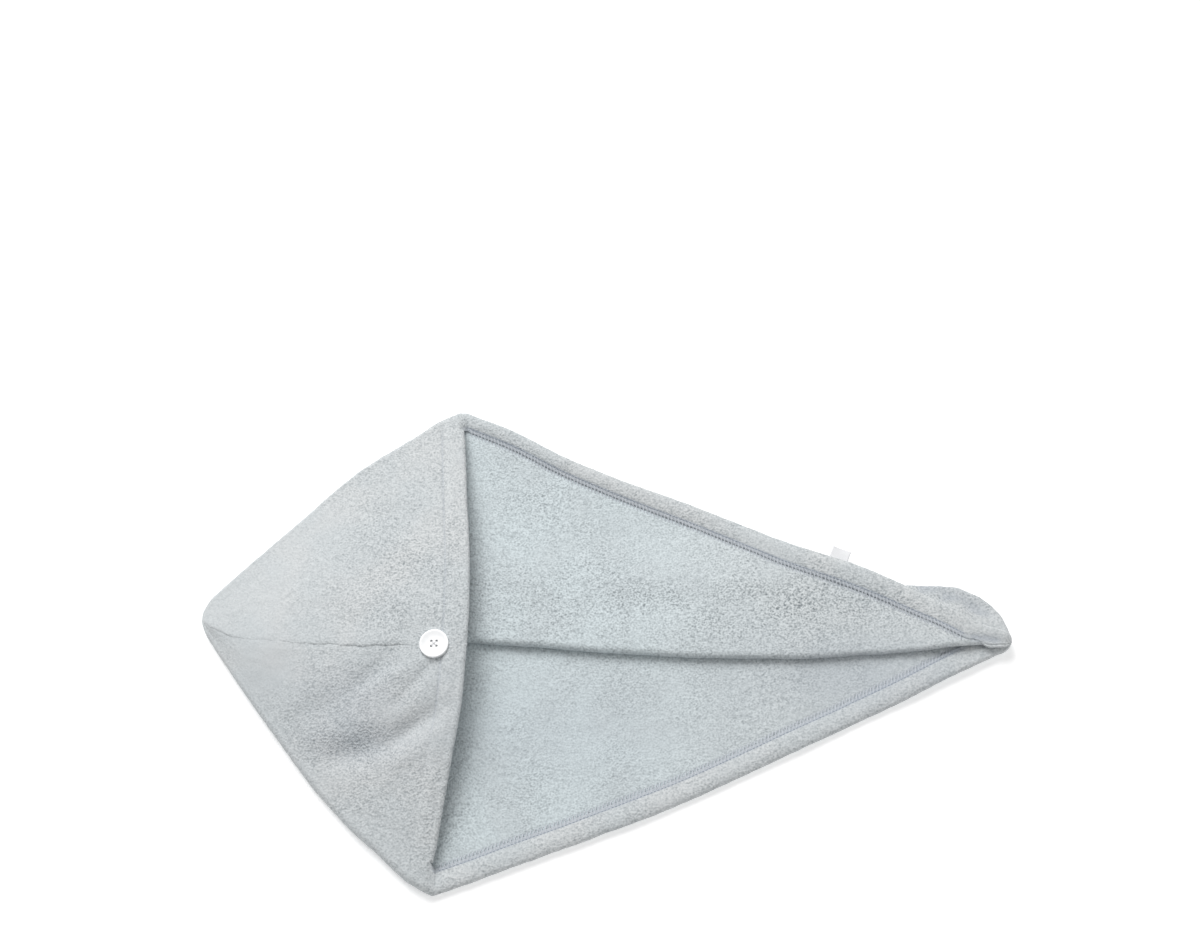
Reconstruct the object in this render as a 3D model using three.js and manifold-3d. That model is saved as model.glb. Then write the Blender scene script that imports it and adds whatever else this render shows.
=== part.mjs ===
// Hair turban towel of coral fleece, lying flat with its hood folded over and its tail open.
// Millimetres, +Z up. +X runs from the hood's tip to the tail's tip, +Y to the far panel.
// Two mirrored panels meet at a crown seam over the hood and at a keel seam under it.
// The hood is a pocket. The tail is a Z-fold: the near panel lies on the surface, the far
// panel comes back over it from the keel to a fold, and turns there towards the far hem.

import * as THREE from 'three';
import { mergeVertices } from 'three/addons/utils/BufferGeometryUtils.js';
import Module from 'manifold-3d';

// Cloth
const clothThickness = 2.6;
const clothGap = 0.3;
const seamLength = 1;
const hemWidth = 18;
const foldRadius = 3;

// Outline, measured from the hood's tip
const towelLength = 617;
const nearSpan = 213;
const farSpan = 178;
const nearCornerReach = 182;
const farCornerReach = 196;
const hoodDepth = 205;
const hoodRise = 36;
const crownAtHem = -29;
const foldAtHem = -19;
const keelAtHem = 10;
const foldSag = 12;
const keelBulge = 34;
const tailTipY = -17;
const puffReach = 45;
const dropReach = 60;

// Button, loop and label
const buttonDiameter = 22;
const buttonThickness = 3.2;
const buttonBevel = 0.4;
const buttonSetback = 24;
const buttonHoleDiameter = 2.2;
const buttonHoleSpacing = 4.2;
const threadDiameter = 0.9;
const loopLength = 34;
const loopWidth = 15;
const loopCordDiameter = 2.4;
const loopSetback = 6;
const labelWidth = 15;
const labelReach = 9;
const labelThickness = 0.6;
const labelSetback = 127;

// Sizes that follow from those above
const half = clothThickness / 2;
const pitch = clothThickness + clothGap;
const loopRoom = loopCordDiameter + clothGap;
const hemSetback = half + pitch / 2 + seamLength + clothGap;
const hoodHemShare = 1 - hemSetback / hoodDepth;

// Sizes of the stacked layers at the hood's tip, at its corners and at the tail's tip (the nose),
// counted in layers of cloth
const layers = {
  tipHalfWidth: 3.5,
  tipFold: 1.6,
  tipNearTurn: 1.35,
  tipFarTurn: 0.62,
  tipCrown: 3.3,
  cornerTurn: 1.55,
  noseNear: 3.1,
  noseFar: 1.4,
  noseFold: 1.7,
  noseKeel: 3.1,
  bandToFold: 1.5,
  bandToKeel: 2.5,
};

// How the crown rises along the hood, and how the cloth rises from its edges to the crown
const riseShape = 0.85;
const archShape = 1.25;

// Hood sections, from the tip at q = 0 to the hem at q = 1. spread is the share of the panel's
// span that the hood has reached, and crown is the share of crownAtHem.
const hoodTable = [
  { q: 0.0, spread: 0.0, crown: 0.12 },
  { q: 0.035, spread: 0.035, crown: 0.27 },
  { q: 0.1, spread: 0.118, crown: 0.5 },
  { q: 0.2, spread: 0.241, crown: 0.69 },
  { q: 0.35, spread: 0.42, crown: 0.83 },
  { q: 0.5, spread: 0.595, crown: 0.93 },
  { q: 0.65, spread: 0.741, crown: 0.99 },
  { q: 0.8, spread: 0.86, crown: 1.03 },
  { q: 0.9, spread: 0.946, crown: 1.04 },
  { q: 1.0, spread: 1.0, crown: 1.0 },
];

// Tail sections, from the hood's corners at q = 0 to the tail's tip at q = 1. nearHem and farHem
// are shares of the way out to the corners, fold and keel shares of foldSag and keelBulge, and
// lift and loop the shares of a hem's and of the loop's thickness that lie under the far panel.
const tailTable = [
  { q: 0.0, nearHem: 1.0, farHem: 1.0, fold: 0.0, keel: 0.0, lift: 0, loop: 0 },
  { q: 0.1, nearHem: 0.914, farHem: 0.9, fold: 0.18, keel: 0.11, lift: 0, loop: 0 },
  { q: 0.2, nearHem: 0.829, farHem: 0.78, fold: 0.45, keel: 0.22, lift: 0, loop: 0 },
  { q: 0.3, nearHem: 0.743, farHem: 0.686, fold: 0.68, keel: 0.36, lift: 0, loop: 0 },
  { q: 0.45, nearHem: 0.602, farHem: 0.555, fold: 0.94, keel: 0.53, lift: 0, loop: 0 },
  { q: 0.6, nearHem: 0.439, farHem: 0.408, fold: 0.97, keel: 0.65, lift: 0, loop: 0 },
  { q: 0.75, nearHem: 0.275, farHem: 0.277, fold: 0.69, keel: 0.87, lift: 0, loop: 0 },
  { q: 0.85, nearHem: 0.16, farHem: 0.157, fold: 0.41, keel: 0.98, lift: 0.4, loop: 0.7 },
  { q: 0.9, nearHem: 0.1, farHem: 0.089, fold: 0.2, keel: 0.96, lift: 1, loop: 1 },
  { q: 0.95, nearHem: 0.045, farHem: 0.032, fold: 0.05, keel: 0.75, lift: 1, loop: 1 },
  { q: 0.98, nearHem: 0.014, farHem: 0.01, fold: 0.0, keel: 0.42, lift: 1, loop: 1 },
  { q: 1.0, nearHem: 0.0, farHem: 0.0, fold: 0.0, keel: 0.0, lift: 1, loop: 1 },
];

// Soft dents in the near half of the hood, each along a line from (q0, t0) to (q1, t1), where t
// runs from the near edge at 0 to the crown at 1. width is in the same shares.
const dentDepth = 3;
const dentTable = [
  { q0: 0.8, t0: 0.78, q1: 0.5, t1: 0.4, width: 0.07, share: 0.8 },
  { q0: 0.8, t0: 0.55, q1: 0.52, t1: 0.12, width: 0.08, share: 1.0 },
];

// Where the sections are cut
const hoodCuts = [0.008, 0.035, 0.08, 0.14, 0.22, 0.32, 0.42, 0.52, 0.62, 0.72, 0.82, 0.91, hoodHemShare];
const tailCuts = [0.004, 0.05, 0.13, 0.21, 0.3, 0.4, 0.5, 0.6, 0.7, 0.78, 0.85, 0.9, 0.95, 0.98, 1];
const turnSteps = 4;
const crownSteps = 11;
const nearSteps = 6;
const farSteps = 7;
const bandSteps = 3;
const keelSteps = 3;
const buttonSides = 24;
const holeSides = 8;
const loopSteps = 20;
const loopSides = 8;
const slopeStep = 0.02;

const { lerp, clamp, smoothstep } = THREE.MathUtils;

// A table's column at q, on a smooth curve that doesn't overshoot between its rows
function column(table, name, q) {
  const last = table.length - 2;
  const found = table.findIndex((row, index) => index <= last && q <= table[index + 1].q);
  const index = found < 0 ? last : found;
  const slope = (k) => {
    const a = table[Math.max(k - 1, 0)];
    const b = table[k];
    const c = table[Math.min(k + 1, table.length - 1)];
    const before = a === b ? 0 : (b[name] - a[name]) / (b.q - a.q);
    const after = b === c ? 0 : (c[name] - b[name]) / (c.q - b.q);
    if (a === b) return after;
    if (b === c) return before;
    return before * after <= 0 ? 0 : (2 * before * after) / (before + after);
  };
  const from = table[index];
  const to = table[index + 1];
  const width = to.q - from.q;
  const t = clamp((q - from.q) / width, 0, 1);
  const t2 = t * t;
  const t3 = t2 * t;
  return (2 * t3 - 3 * t2 + 1) * from[name] + (t3 - 2 * t2 + t) * width * slope(index)
    + (3 * t2 - 2 * t3) * to[name] + (t3 - t2) * width * slope(index + 1);
}

// The sizes of one section through the hood
function hoodSection(q) {
  const spread = column(hoodTable, 'spread', q);
  const section = {
    q,
    xNear: q * nearCornerReach,
    xFar: q * farCornerReach,
    yNear: -lerp(layers.tipHalfWidth * pitch, nearSpan, spread),
    yFar: lerp(layers.tipHalfWidth * pitch, farSpan, spread),
    yFold: lerp(-layers.tipFold * pitch, foldAtHem, q),
    yKeel: lerp(layers.tipFold * pitch, keelAtHem, q),
    zBase: half,
    foldTurn: lerp(pitch / 2, foldRadius, q),
    nearTurn: lerp(layers.tipNearTurn, layers.cornerTurn, q) * pitch,
    farTurn: lerp(layers.tipFarTurn, layers.cornerTurn, q) * pitch,
    bandLift: 0,
  };
  section.yCrown = crownAtHem * column(hoodTable, 'crown', q);
  const zTip = half + layers.tipCrown * pitch;
  section.zCrown = lerp(zTip, hoodRise - half, Math.pow(q, riseShape));
  const chord = lerp(section.xNear, section.xFar, between(section, section.yCrown));
  section.crownAdvance = q * hoodDepth - chord;
  return section;
}

// The sizes of one section through the tail
function tailSection(q) {
  const start = hoodSection(1);
  const noseNear = tailTipY - layers.noseNear * pitch;
  const noseFar = tailTipY + layers.noseFar * pitch;
  const noseFold = tailTipY - layers.noseFold * pitch;
  const noseKeel = tailTipY + layers.noseKeel * pitch;
  return {
    xNear: lerp(start.xNear, towelLength, q),
    xFar: lerp(start.xFar, towelLength, q),
    yNear: lerp(noseNear, start.yNear, column(tailTable, 'nearHem', q)),
    yFar: lerp(noseFar, start.yFar, column(tailTable, 'farHem', q)),
    yFold: lerp(start.yFold, noseFold, q) - foldSag * column(tailTable, 'fold', q),
    yKeel: lerp(start.yKeel, noseKeel, q) + keelBulge * column(tailTable, 'keel', q),
    zBase: half + loopRoom * column(tailTable, 'loop', q),
    foldTurn: lerp(foldRadius, pitch / 2, q * q),
    bandLift: pitch * column(tailTable, 'lift', q),
    crownAdvance: 0,
  };
}

function between(section, y) {
  return (y - section.yNear) / (section.yFar - section.yNear);
}

// Height of the far panel's returning strip, and of the panel that lies over it
function stripHeight(section) {
  return section.zBase + pitch + section.bandLift;
}

function farHeight(section, y) {
  const overStrip = stripHeight(section) + pitch;
  const puff = 2 * section.foldTurn - pitch;
  const foldEnd = section.yFold + half + section.foldTurn;
  const falloff = 1 - smoothstep(y, foldEnd, foldEnd + puffReach);
  const drop = smoothstep(y, section.yKeel + pitch, section.yKeel + pitch + dropReach);
  return lerp(overStrip, section.zBase, drop) + puff * falloff * (1 - drop);
}

// Where a tail hem's half turn has its centre, and where its band ends, short of the fold
function turnCentre(section, side) {
  const outer = side < 0 ? section.yNear : section.yFar;
  return outer - side * (half + pitch / 2);
}

function bandEnd(section, side) {
  const nearLimit = section.yKeel - layers.bandToKeel * pitch;
  const farLimit = section.yFold + layers.bandToFold * pitch;
  const limit = side < 0 ? nearLimit : farLimit;
  const yTurn = turnCentre(section, side);
  const room = Math.abs(yTurn - limit);
  return yTurn - side * Math.min(hemWidth - half - pitch / 2, room);
}

// A point of a section's path. along moves it towards the tail, as the hood's crown does.
function sectionPoint(section, y, z, along = 0) {
  const x = lerp(section.xNear, section.xFar, between(section, y));
  return new THREE.Vector3(x + along * section.crownAdvance, y, z);
}

// A half turn of the path about (y, z), from angle start over half a circle
function halfTurn(section, y, z, radius, start, direction) {
  const points = [];
  for (let k = 0; k <= turnSteps; k += 1) {
    const angle = start + (direction * Math.PI * k) / turnSteps;
    points.push(sectionPoint(section, y + radius * Math.cos(angle), z + radius * Math.sin(angle)));
  }
  return points;
}

// A stretch of the path from y0 to y1, whose height follows heightAt, without its first point
function stretch(section, y0, y1, steps, heightAt) {
  const points = [];
  for (let k = 1; k <= steps; k += 1) {
    const y = lerp(y0, y1, k / steps);
    points.push(sectionPoint(section, y, heightAt(y)));
  }
  return points;
}

// How far the dents press the hood's near half in
function dentAt(q, t) {
  let depth = 0;
  for (const dent of dentTable) {
    const alongQ = dent.q1 - dent.q0;
    const alongT = dent.t1 - dent.t0;
    const share = ((q - dent.q0) * alongQ + (t - dent.t0) * alongT) / (alongQ ** 2 + alongT ** 2);
    const s = clamp(share, 0, 1);
    const distance = Math.hypot(q - dent.q0 - s * alongQ, t - dent.t0 - s * alongT);
    depth += dentDepth * dent.share * Math.exp(-((distance / dent.width) ** 2));
  }
  return depth;
}

// The hood's top layer from an edge at t = 0 to the crown at t = 1
function hoodTopPoint(section, side, t) {
  const turn = side < 0 ? section.nearTurn : section.farTurn;
  const outer = side < 0 ? section.yNear : section.yFar;
  const yEdge = outer - side * (half + turn);
  const zEdge = (side < 0 ? section.zBase : farHeight(section, yEdge)) + 2 * turn;
  const yEnd = section.yCrown + side * clothGap;
  const rise = Math.sin((Math.PI / 2) * Math.pow(t, archShape));
  const dent = side < 0 ? dentAt(section.q, t) : 0;
  return sectionPoint(section, lerp(yEdge, yEnd, t), lerp(zEdge, section.zCrown, rise) - dent, rise);
}

function hoodTop(section, side) {
  const points = [];
  for (let k = 1; k <= crownSteps; k += 1) {
    points.push(hoodTopPoint(section, side, k / crownSteps));
  }
  return points;
}

// The near panel's path: from the keel over the surface to the near edge and up to the crown
function nearPath(section, isHood) {
  const keelTurn = (stripHeight(section) - section.zBase) / 2;
  const yKeelEnd = section.yKeel - half - keelTurn - seamLength - clothGap;
  const setback = isHood ? half + section.nearTurn : hemSetback;
  const yEnd = section.yNear + setback;
  const flat = stretch(section, yKeelEnd, yEnd, nearSteps, () => section.zBase);
  const path = [sectionPoint(section, yKeelEnd, section.zBase), ...flat];
  if (!isHood) return path;
  const radius = section.nearTurn;
  const turn = halfTurn(section, yEnd, section.zBase + radius, radius, -Math.PI / 2, -1);
  return [...path, ...turn.slice(1), ...hoodTop(section, -1)];
}

// The far panel's path, from the keel's butt round the keel, the fold and the far edge
function farPath(section, isHood) {
  const zStrip = stripHeight(section);
  const keelTurn = (zStrip - section.zBase) / 2;
  const yKeelEnd = section.yKeel - half - keelTurn;
  const yFoldEnd = section.yFold + half + section.foldTurn;
  const setback = isHood ? half + section.farTurn : hemSetback;
  const yEnd = section.yFar - setback;
  const yBand = isHood ? yEnd - hemWidth * section.q : bandEnd(section, 1);
  const keel = halfTurn(section, yKeelEnd, section.zBase + keelTurn, keelTurn, -Math.PI / 2, 1);
  const strip = stretch(section, yKeelEnd, yFoldEnd, keelSteps, () => zStrip);
  const fold = halfTurn(section, yFoldEnd, zStrip + section.foldTurn, section.foldTurn, -Math.PI / 2, -1);
  const height = (y) => farHeight(section, y);
  const upper = stretch(section, yFoldEnd, yBand, farSteps, height);
  const underBand = stretch(section, yBand, yEnd, bandSteps, height);
  const stub = sectionPoint(section, yKeelEnd - seamLength, section.zBase);
  const path = [stub, ...keel, ...strip, ...fold.slice(1), ...upper, ...underBand];
  if (!isHood) return path;
  const zEnd = farHeight(section, yEnd);
  const turn = halfTurn(section, yEnd, zEnd + section.farTurn, section.farTurn, -Math.PI / 2, 1);
  return [...path, ...turn.slice(1), ...hoodTop(section, 1)];
}

// A wall of the given half thickness about a grid of points. Rows may be of unlike length.
function clothWall(rows, halfThickness) {
  const at = (i, j) => (rows[i] && rows[i][j]) || null;
  const isCell = (i, j) => at(i, j) && at(i + 1, j) && at(i, j + 1) && at(i + 1, j + 1);
  const tangent = (a, b, fallback) => {
    if (a && b) return b.clone().sub(a);
    return a ? fallback.clone().sub(a) : b.clone().sub(fallback);
  };
  const positions = [];
  const ids = rows.map(() => []);
  const use = (i, j) => {
    if (ids[i][j] !== undefined) return ids[i][j];
    const point = at(i, j);
    const along = tangent(at(i - 1, j), at(i + 1, j), point);
    const across = tangent(at(i, j - 1), at(i, j + 1), point);
    const normal = along.cross(across).normalize().multiplyScalar(halfThickness);
    ids[i][j] = positions.length / 3;
    positions.push(...point.clone().add(normal).toArray(), ...point.clone().sub(normal).toArray());
    return ids[i][j];
  };
  const faces = [];
  const quad = (a, b, c, d) => faces.push(a, b, c, a, c, d);
  const rim = (a, b) => quad(a, b, b + 1, a + 1);
  for (let i = 0; i < rows.length - 1; i += 1) {
    for (let j = 0; j < rows[i].length - 1; j += 1) {
      if (!isCell(i, j)) continue;
      const a = use(i, j);
      const b = use(i + 1, j);
      const c = use(i + 1, j + 1);
      const d = use(i, j + 1);
      quad(a, b, c, d);
      quad(a + 1, d + 1, c + 1, b + 1);
      if (!isCell(i, j - 1)) rim(b, a);
      if (!isCell(i, j + 1)) rim(d, c);
      if (!isCell(i - 1, j)) rim(a, d);
      if (!isCell(i + 1, j)) rim(c, b);
    }
  }
  return outwardSolid(positions, faces);
}

// A closed solid of these points and triangles, with its faces pointing out
function outwardSolid(positions, faces) {
  const corner = (index) => new THREE.Vector3().fromArray(positions, 3 * index);
  let volume = 0;
  for (let k = 0; k < faces.length; k += 3) {
    volume += corner(faces[k]).dot(corner(faces[k + 1]).cross(corner(faces[k + 2])));
  }
  const geometry = new THREE.BufferGeometry();
  geometry.setAttribute('position', new THREE.Float32BufferAttribute(positions, 3));
  geometry.setIndex(volume < 0 ? faces.reverse() : faces);
  return geometry;
}

// The two panels
function panelWall(path) {
  const hood = hoodCuts.map((q) => path(hoodSection(q), true));
  const tail = tailCuts.map((q) => path(tailSection(q), false));
  return clothWall([...hood, ...tail], half);
}

// The hem turned in along one side of the tail: a butt, a half turn and a band on the panel
function tailHem(side) {
  const rows = tailCuts.map((q) => {
    const section = tailSection(q);
    const height = (y) => (side < 0 ? section.zBase : farHeight(section, y));
    const yTurn = turnCentre(section, side);
    const butt = sectionPoint(section, yTurn - side * seamLength, height(yTurn - side * seamLength));
    const turn = halfTurn(section, yTurn, height(yTurn) + pitch / 2, pitch / 2, -Math.PI / 2, side);
    const band = stretch(section, yTurn, bandEnd(section, side), bandSteps, (y) => height(y) + pitch);
    return [butt, ...turn, ...band];
  });
  return clothWall(rows, half);
}

// The hem turned in along the hood's mouth, from corner to corner over the crown
function hoodHem() {
  const arch = [];
  for (let k = 1; k <= crownSteps; k += 1) arch.push({ side: -1, t: k / crownSteps });
  for (let k = crownSteps - 1; k >= 1; k -= 1) arch.push({ side: 1, t: k / crownSteps });
  const topAt = (q, place) => hoodTopPoint(hoodSection(q), place.side, place.t);
  const rows = arch.map((place, index) => {
    const before = arch[Math.max(index - 1, 0)];
    const after = arch[Math.min(index + 1, arch.length - 1)];
    const edge = topAt(hoodHemShare, place);
    const across = topAt(hoodHemShare, after).sub(topAt(hoodHemShare, before)).normalize();
    const back = topAt(hoodHemShare - clothThickness / hoodDepth, place).sub(edge);
    const inward = back.cross(across).normalize();
    const outward = inward.clone().cross(across);
    const points = [];
    for (let k = 0; k < bandSteps; k += 1) {
      const q = 1 - lerp(hemWidth, hemSetback + half, k / bandSteps) / hoodDepth;
      points.push(topAt(q, place).addScaledVector(inward, pitch));
    }
    for (let k = turnSteps; k >= 0; k -= 1) {
      const angle = (Math.PI * k) / turnSteps;
      const reach = clothGap + seamLength + (pitch / 2) * Math.sin(angle);
      const depth = (pitch / 2) * (1 - Math.cos(angle));
      points.push(edge.clone().addScaledVector(outward, reach).addScaledVector(inward, depth));
    }
    points.push(edge.clone().addScaledVector(outward, clothGap));
    return points;
  });
  return clothWall(rows, half);
}

// The place on the crown where the button sits, with the cloth's normal there
function buttonSeat() {
  const q = 1 - buttonSetback / hoodDepth;
  const centre = hoodTopPoint(hoodSection(q), -1, 1);
  const back = hoodTopPoint(hoodSection(q - slopeStep), -1, 1);
  const reach = buttonDiameter / 2;
  const section = hoodSection(q);
  const near = hoodTopPoint(section, -1, 1 - reach / Math.abs(section.yNear - section.yCrown));
  const far = hoodTopPoint(section, 1, 1 - reach / Math.abs(section.yFar - section.yCrown));
  const normal = centre.clone().sub(back).cross(far.sub(near)).normalize();
  return { centre: centre.addScaledVector(normal, half + clothGap), normal };
}

function seatOnCrown(mesh, seat) {
  mesh.position.copy(seat.centre);
  mesh.quaternion.setFromUnitVectors(new THREE.Vector3(0, 0, 1), seat.normal);
  return mesh;
}

function holeCentres() {
  const reach = buttonHoleSpacing / 2;
  return [[-reach, -reach], [reach, -reach], [reach, reach], [-reach, reach]];
}

function circlePoints(x, y, radius, sides) {
  const points = [];
  for (let k = 0; k < sides; k += 1) {
    const angle = (2 * Math.PI * k) / sides;
    points.push(new THREE.Vector2(x + radius * Math.cos(angle), y + radius * Math.sin(angle)));
  }
  return points;
}

// The button: a disc with a bevelled rim and four holes
function buttonDisc() {
  const outline = new THREE.Shape(circlePoints(0, 0, buttonDiameter / 2 - buttonBevel, buttonSides));
  for (const [x, y] of holeCentres()) {
    const radius = buttonHoleDiameter / 2 + buttonBevel;
    outline.holes.push(new THREE.Path(circlePoints(x, y, radius, holeSides)));
  }
  const geometry = new THREE.ExtrudeGeometry(outline, {
    depth: buttonThickness - 2 * buttonBevel,
    bevelThickness: buttonBevel,
    bevelSize: buttonBevel,
    bevelSegments: 1,
  });
  return geometry.translate(0, 0, buttonBevel);
}

// The thread: a leg through each hole and a cross on top
function crossedThread(wasm) {
  const height = buttonThickness + clothGap + threadDiameter;
  const pieces = holeCentres().map(([x, y]) => {
    const leg = new THREE.CylinderGeometry(threadDiameter / 2, threadDiameter / 2, height, holeSides);
    return leg.rotateX(Math.PI / 2).translate(x, y, height / 2);
  });
  const span = buttonHoleSpacing * Math.SQRT2;
  for (const angle of [Math.PI / 4, -Math.PI / 4]) {
    const bar = new THREE.BoxGeometry(span, threadDiameter, threadDiameter);
    pieces.push(bar.rotateZ(angle).translate(0, 0, height - threadDiameter / 2));
  }
  return joined(wasm, pieces);
}

// Closed meshes made one solid
function joined(wasm, geometries) {
  let whole = null;
  for (const geometry of geometries) {
    geometry.deleteAttribute('normal');
    geometry.deleteAttribute('uv');
    const merged = mergeVertices(geometry);
    const vertProperties = new Float32Array(merged.attributes.position.array);
    const triVerts = new Uint32Array(merged.index.array);
    const solid = new wasm.Manifold(new wasm.Mesh({ numProp: 3, vertProperties, triVerts }));
    whole = whole ? whole.add(solid) : solid;
  }
  const mesh = whole.getMesh();
  const geometry = new THREE.BufferGeometry();
  geometry.setAttribute('position', new THREE.BufferAttribute(mesh.vertProperties, 3));
  return geometry.setIndex(new THREE.BufferAttribute(mesh.triVerts, 1));
}

// The elastic loop, drawn out from a ring to a long loop that lies on the surface
function elasticLoop() {
  const radius = loopCordDiameter / 2;
  const bend = loopWidth / 2 - radius;
  const ring = new THREE.TorusGeometry(bend, radius, loopSides, loopSteps);
  const place = ring.attributes.position;
  const drawOut = (loopLength - loopWidth) / 2;
  for (let k = 0; k < place.count; k += 1) {
    const x = place.getX(k);
    if (Math.abs(x) > clothGap) place.setX(k, x + drawOut * Math.sign(x));
  }
  return ring.translate(towelLength - loopSetback - loopLength / 2, tailTipY, radius);
}

// The label stands out of the far hem's edge, level, in line with the hem
function sideLabel(mesh) {
  const q = 1 - labelSetback / (towelLength - farCornerReach);
  const section = tailSection(q);
  const next = tailSection(q + slopeStep);
  const yTurn = turnCentre(section, 1);
  const z = farHeight(section, yTurn) + pitch / 2;
  mesh.rotation.z = Math.atan2(next.yFar - section.yFar, next.xFar - section.xFar);
  mesh.position.set(section.xFar, section.yFar, z);
  return mesh;
}

function labelPlate() {
  const plate = new THREE.BoxGeometry(labelWidth, labelReach, labelThickness);
  return plate.translate(0, labelReach / 2 + 2 * clothGap, 0);
}

const wasm = await Module();
wasm.setup();

const materials = {
  fleece: new THREE.MeshStandardMaterial({ color: 0xc8cfd1, roughness: 0.95, metalness: 0 }),
  polyester: new THREE.MeshStandardMaterial({ color: 0xf3f6f8, roughness: 0.25, metalness: 0 }),
  thread: new THREE.MeshStandardMaterial({ color: 0xe9ebee, roughness: 0.8, metalness: 0 }),
  elastic: new THREE.MeshStandardMaterial({ color: 0xc4cbcf, roughness: 0.85, metalness: 0 }),
  satin: new THREE.MeshStandardMaterial({ color: 0xf4f5f7, roughness: 0.5, metalness: 0 }),
};

const towel = new THREE.Group();

function add(name, geometry, material) {
  const mesh = new THREE.Mesh(geometry, material);
  mesh.name = name;
  towel.add(mesh);
  return mesh;
}

add('panel_near', panelWall(nearPath), materials.fleece);
add('panel_far', panelWall(farPath), materials.fleece);
add('tail_hem_near', tailHem(-1), materials.fleece);
add('tail_hem_far', tailHem(1), materials.fleece);
add('hood_hem', hoodHem(), materials.fleece);
seatOnCrown(add('button', buttonDisc(), materials.polyester), buttonSeat());
seatOnCrown(add('button_thread', crossedThread(wasm), materials.thread), buttonSeat());
add('button_loop', elasticLoop(), materials.elastic);
sideLabel(add('side_label', labelPlate(), materials.satin));

// The origin is the middle of the towel's outline, on the surface that it lies on
const outline = new THREE.Box3().setFromObject(towel);
const middle = outline.getCenter(new THREE.Vector3());
towel.position.set(-middle.x, -middle.y, -outline.min.z);

const group = new THREE.Group();
group.add(towel);

export default group;
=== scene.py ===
"""Hair turban towel of coral fleece, lying flat with its hood folded over and its tail open.

Metres, +Z up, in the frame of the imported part. The cloth is two mirrored panels. Each is one
sheet that runs from the keel seam over the surface, round an edge, and up to the crown seam,
with its hems turned in, and it is given its wall, its pile and its stitching here.
"""
import math

import bpy
import numpy as np
from mathutils import Matrix, Vector, noise
from mathutils.bvhtree import BVHTree


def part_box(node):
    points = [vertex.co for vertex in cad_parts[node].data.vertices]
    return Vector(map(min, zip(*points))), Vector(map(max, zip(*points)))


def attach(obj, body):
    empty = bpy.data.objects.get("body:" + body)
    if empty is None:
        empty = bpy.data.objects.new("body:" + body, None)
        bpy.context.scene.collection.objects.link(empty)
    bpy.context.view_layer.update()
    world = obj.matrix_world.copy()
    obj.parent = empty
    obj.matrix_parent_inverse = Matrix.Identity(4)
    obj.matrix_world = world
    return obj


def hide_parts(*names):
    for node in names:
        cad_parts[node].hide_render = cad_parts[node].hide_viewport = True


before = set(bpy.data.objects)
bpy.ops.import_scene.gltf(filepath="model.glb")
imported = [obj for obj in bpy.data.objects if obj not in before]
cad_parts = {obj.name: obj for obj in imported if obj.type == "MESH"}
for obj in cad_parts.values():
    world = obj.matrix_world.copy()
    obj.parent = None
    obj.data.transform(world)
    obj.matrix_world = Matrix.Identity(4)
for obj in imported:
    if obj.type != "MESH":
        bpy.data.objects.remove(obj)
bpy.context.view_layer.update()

bl_info = {
    "name": "Hair turban towel",
    "version": (1, 0, 0),
    "blender": (4, 5, 0),
    "location": "3D View > Sidebar > Turban",
    "description": "Builds a coral fleece hair turban, its stitching, button, loop and label",
    "category": "Add Mesh",
}

MM = 0.001

# Where the hood's tip line lies in the part's frame
TIP_PLACE = (-0.309314, 0.017574, 0.0)


# Sizes and colours

def length(label, text, default, **more):
    """A length property in metres."""
    return bpy.props.FloatProperty(
        name=label, description=text, default=default, unit="LENGTH", precision=5, **more)


def colour(label, text, hex_value):
    """A colour property, given as an sRGB hex value and held as linear light."""
    return bpy.props.FloatVectorProperty(
        name=label, description=text, default=linear(hex_value), subtype="COLOR", size=3,
        min=0, max=1)


def linear(hex_value):
    """An sRGB hex colour as three linear values."""
    parts = [int(hex_value[k:k + 2], 16) / 255 for k in (0, 2, 4)]
    return tuple(c / 12.92 if c <= 0.04045 else ((c + 0.055) / 1.055) ** 2.4 for c in parts)


class TurbanSizes(bpy.types.PropertyGroup):
    """Sizes of the cloth and of the outline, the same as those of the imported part."""
    cloth: length("Cloth", "Thickness of the fleece with its pile", 0.0026)
    gap: length("Gap", "Gap between two layers", 0.0003)
    seam: length("Seam", "Straight stretch of cloth beside a seam", 0.001)
    hem: length("Hem", "Width of the turned hems", 0.018)
    fold_radius: length("Fold radius", "Radius of the tail's fold", 0.003)
    towel_length: length("Length", "From the hood's tip to the tail's tip", 0.617)
    near_span: length("Near span", "From the tip line to the near corner", 0.213)
    far_span: length("Far span", "From the tip line to the far corner", 0.178)
    near_reach: length("Near reach", "Distance of the near corner from the tip", 0.182)
    far_reach: length("Far reach", "Distance of the far corner from the tip", 0.196)
    hood_depth: length("Hood depth", "Distance of the crown's hem from the tip", 0.205)
    hood_rise: length("Hood rise", "Height of the crown at its hem", 0.036)
    pile: length("Pile", "Height of the lumps of the pile", 0.00032)
    shoulder: length("Shoulder", "Radius at which the crown seam turns in", 0.0009)
    allowance: length("Allowance", "Cloth turned in along the crown seam", 0.005)
    stitch: length("Stitch", "Length of one running stitch", 0.0028)
    ladder: length("Ladder", "Length of one overlock stitch", 0.003)
    thread: length("Thread", "Diameter of the needle thread", 0.0005)
    looper: length("Looper", "Diameter of the three-ply looper thread", 0.0009)


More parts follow.
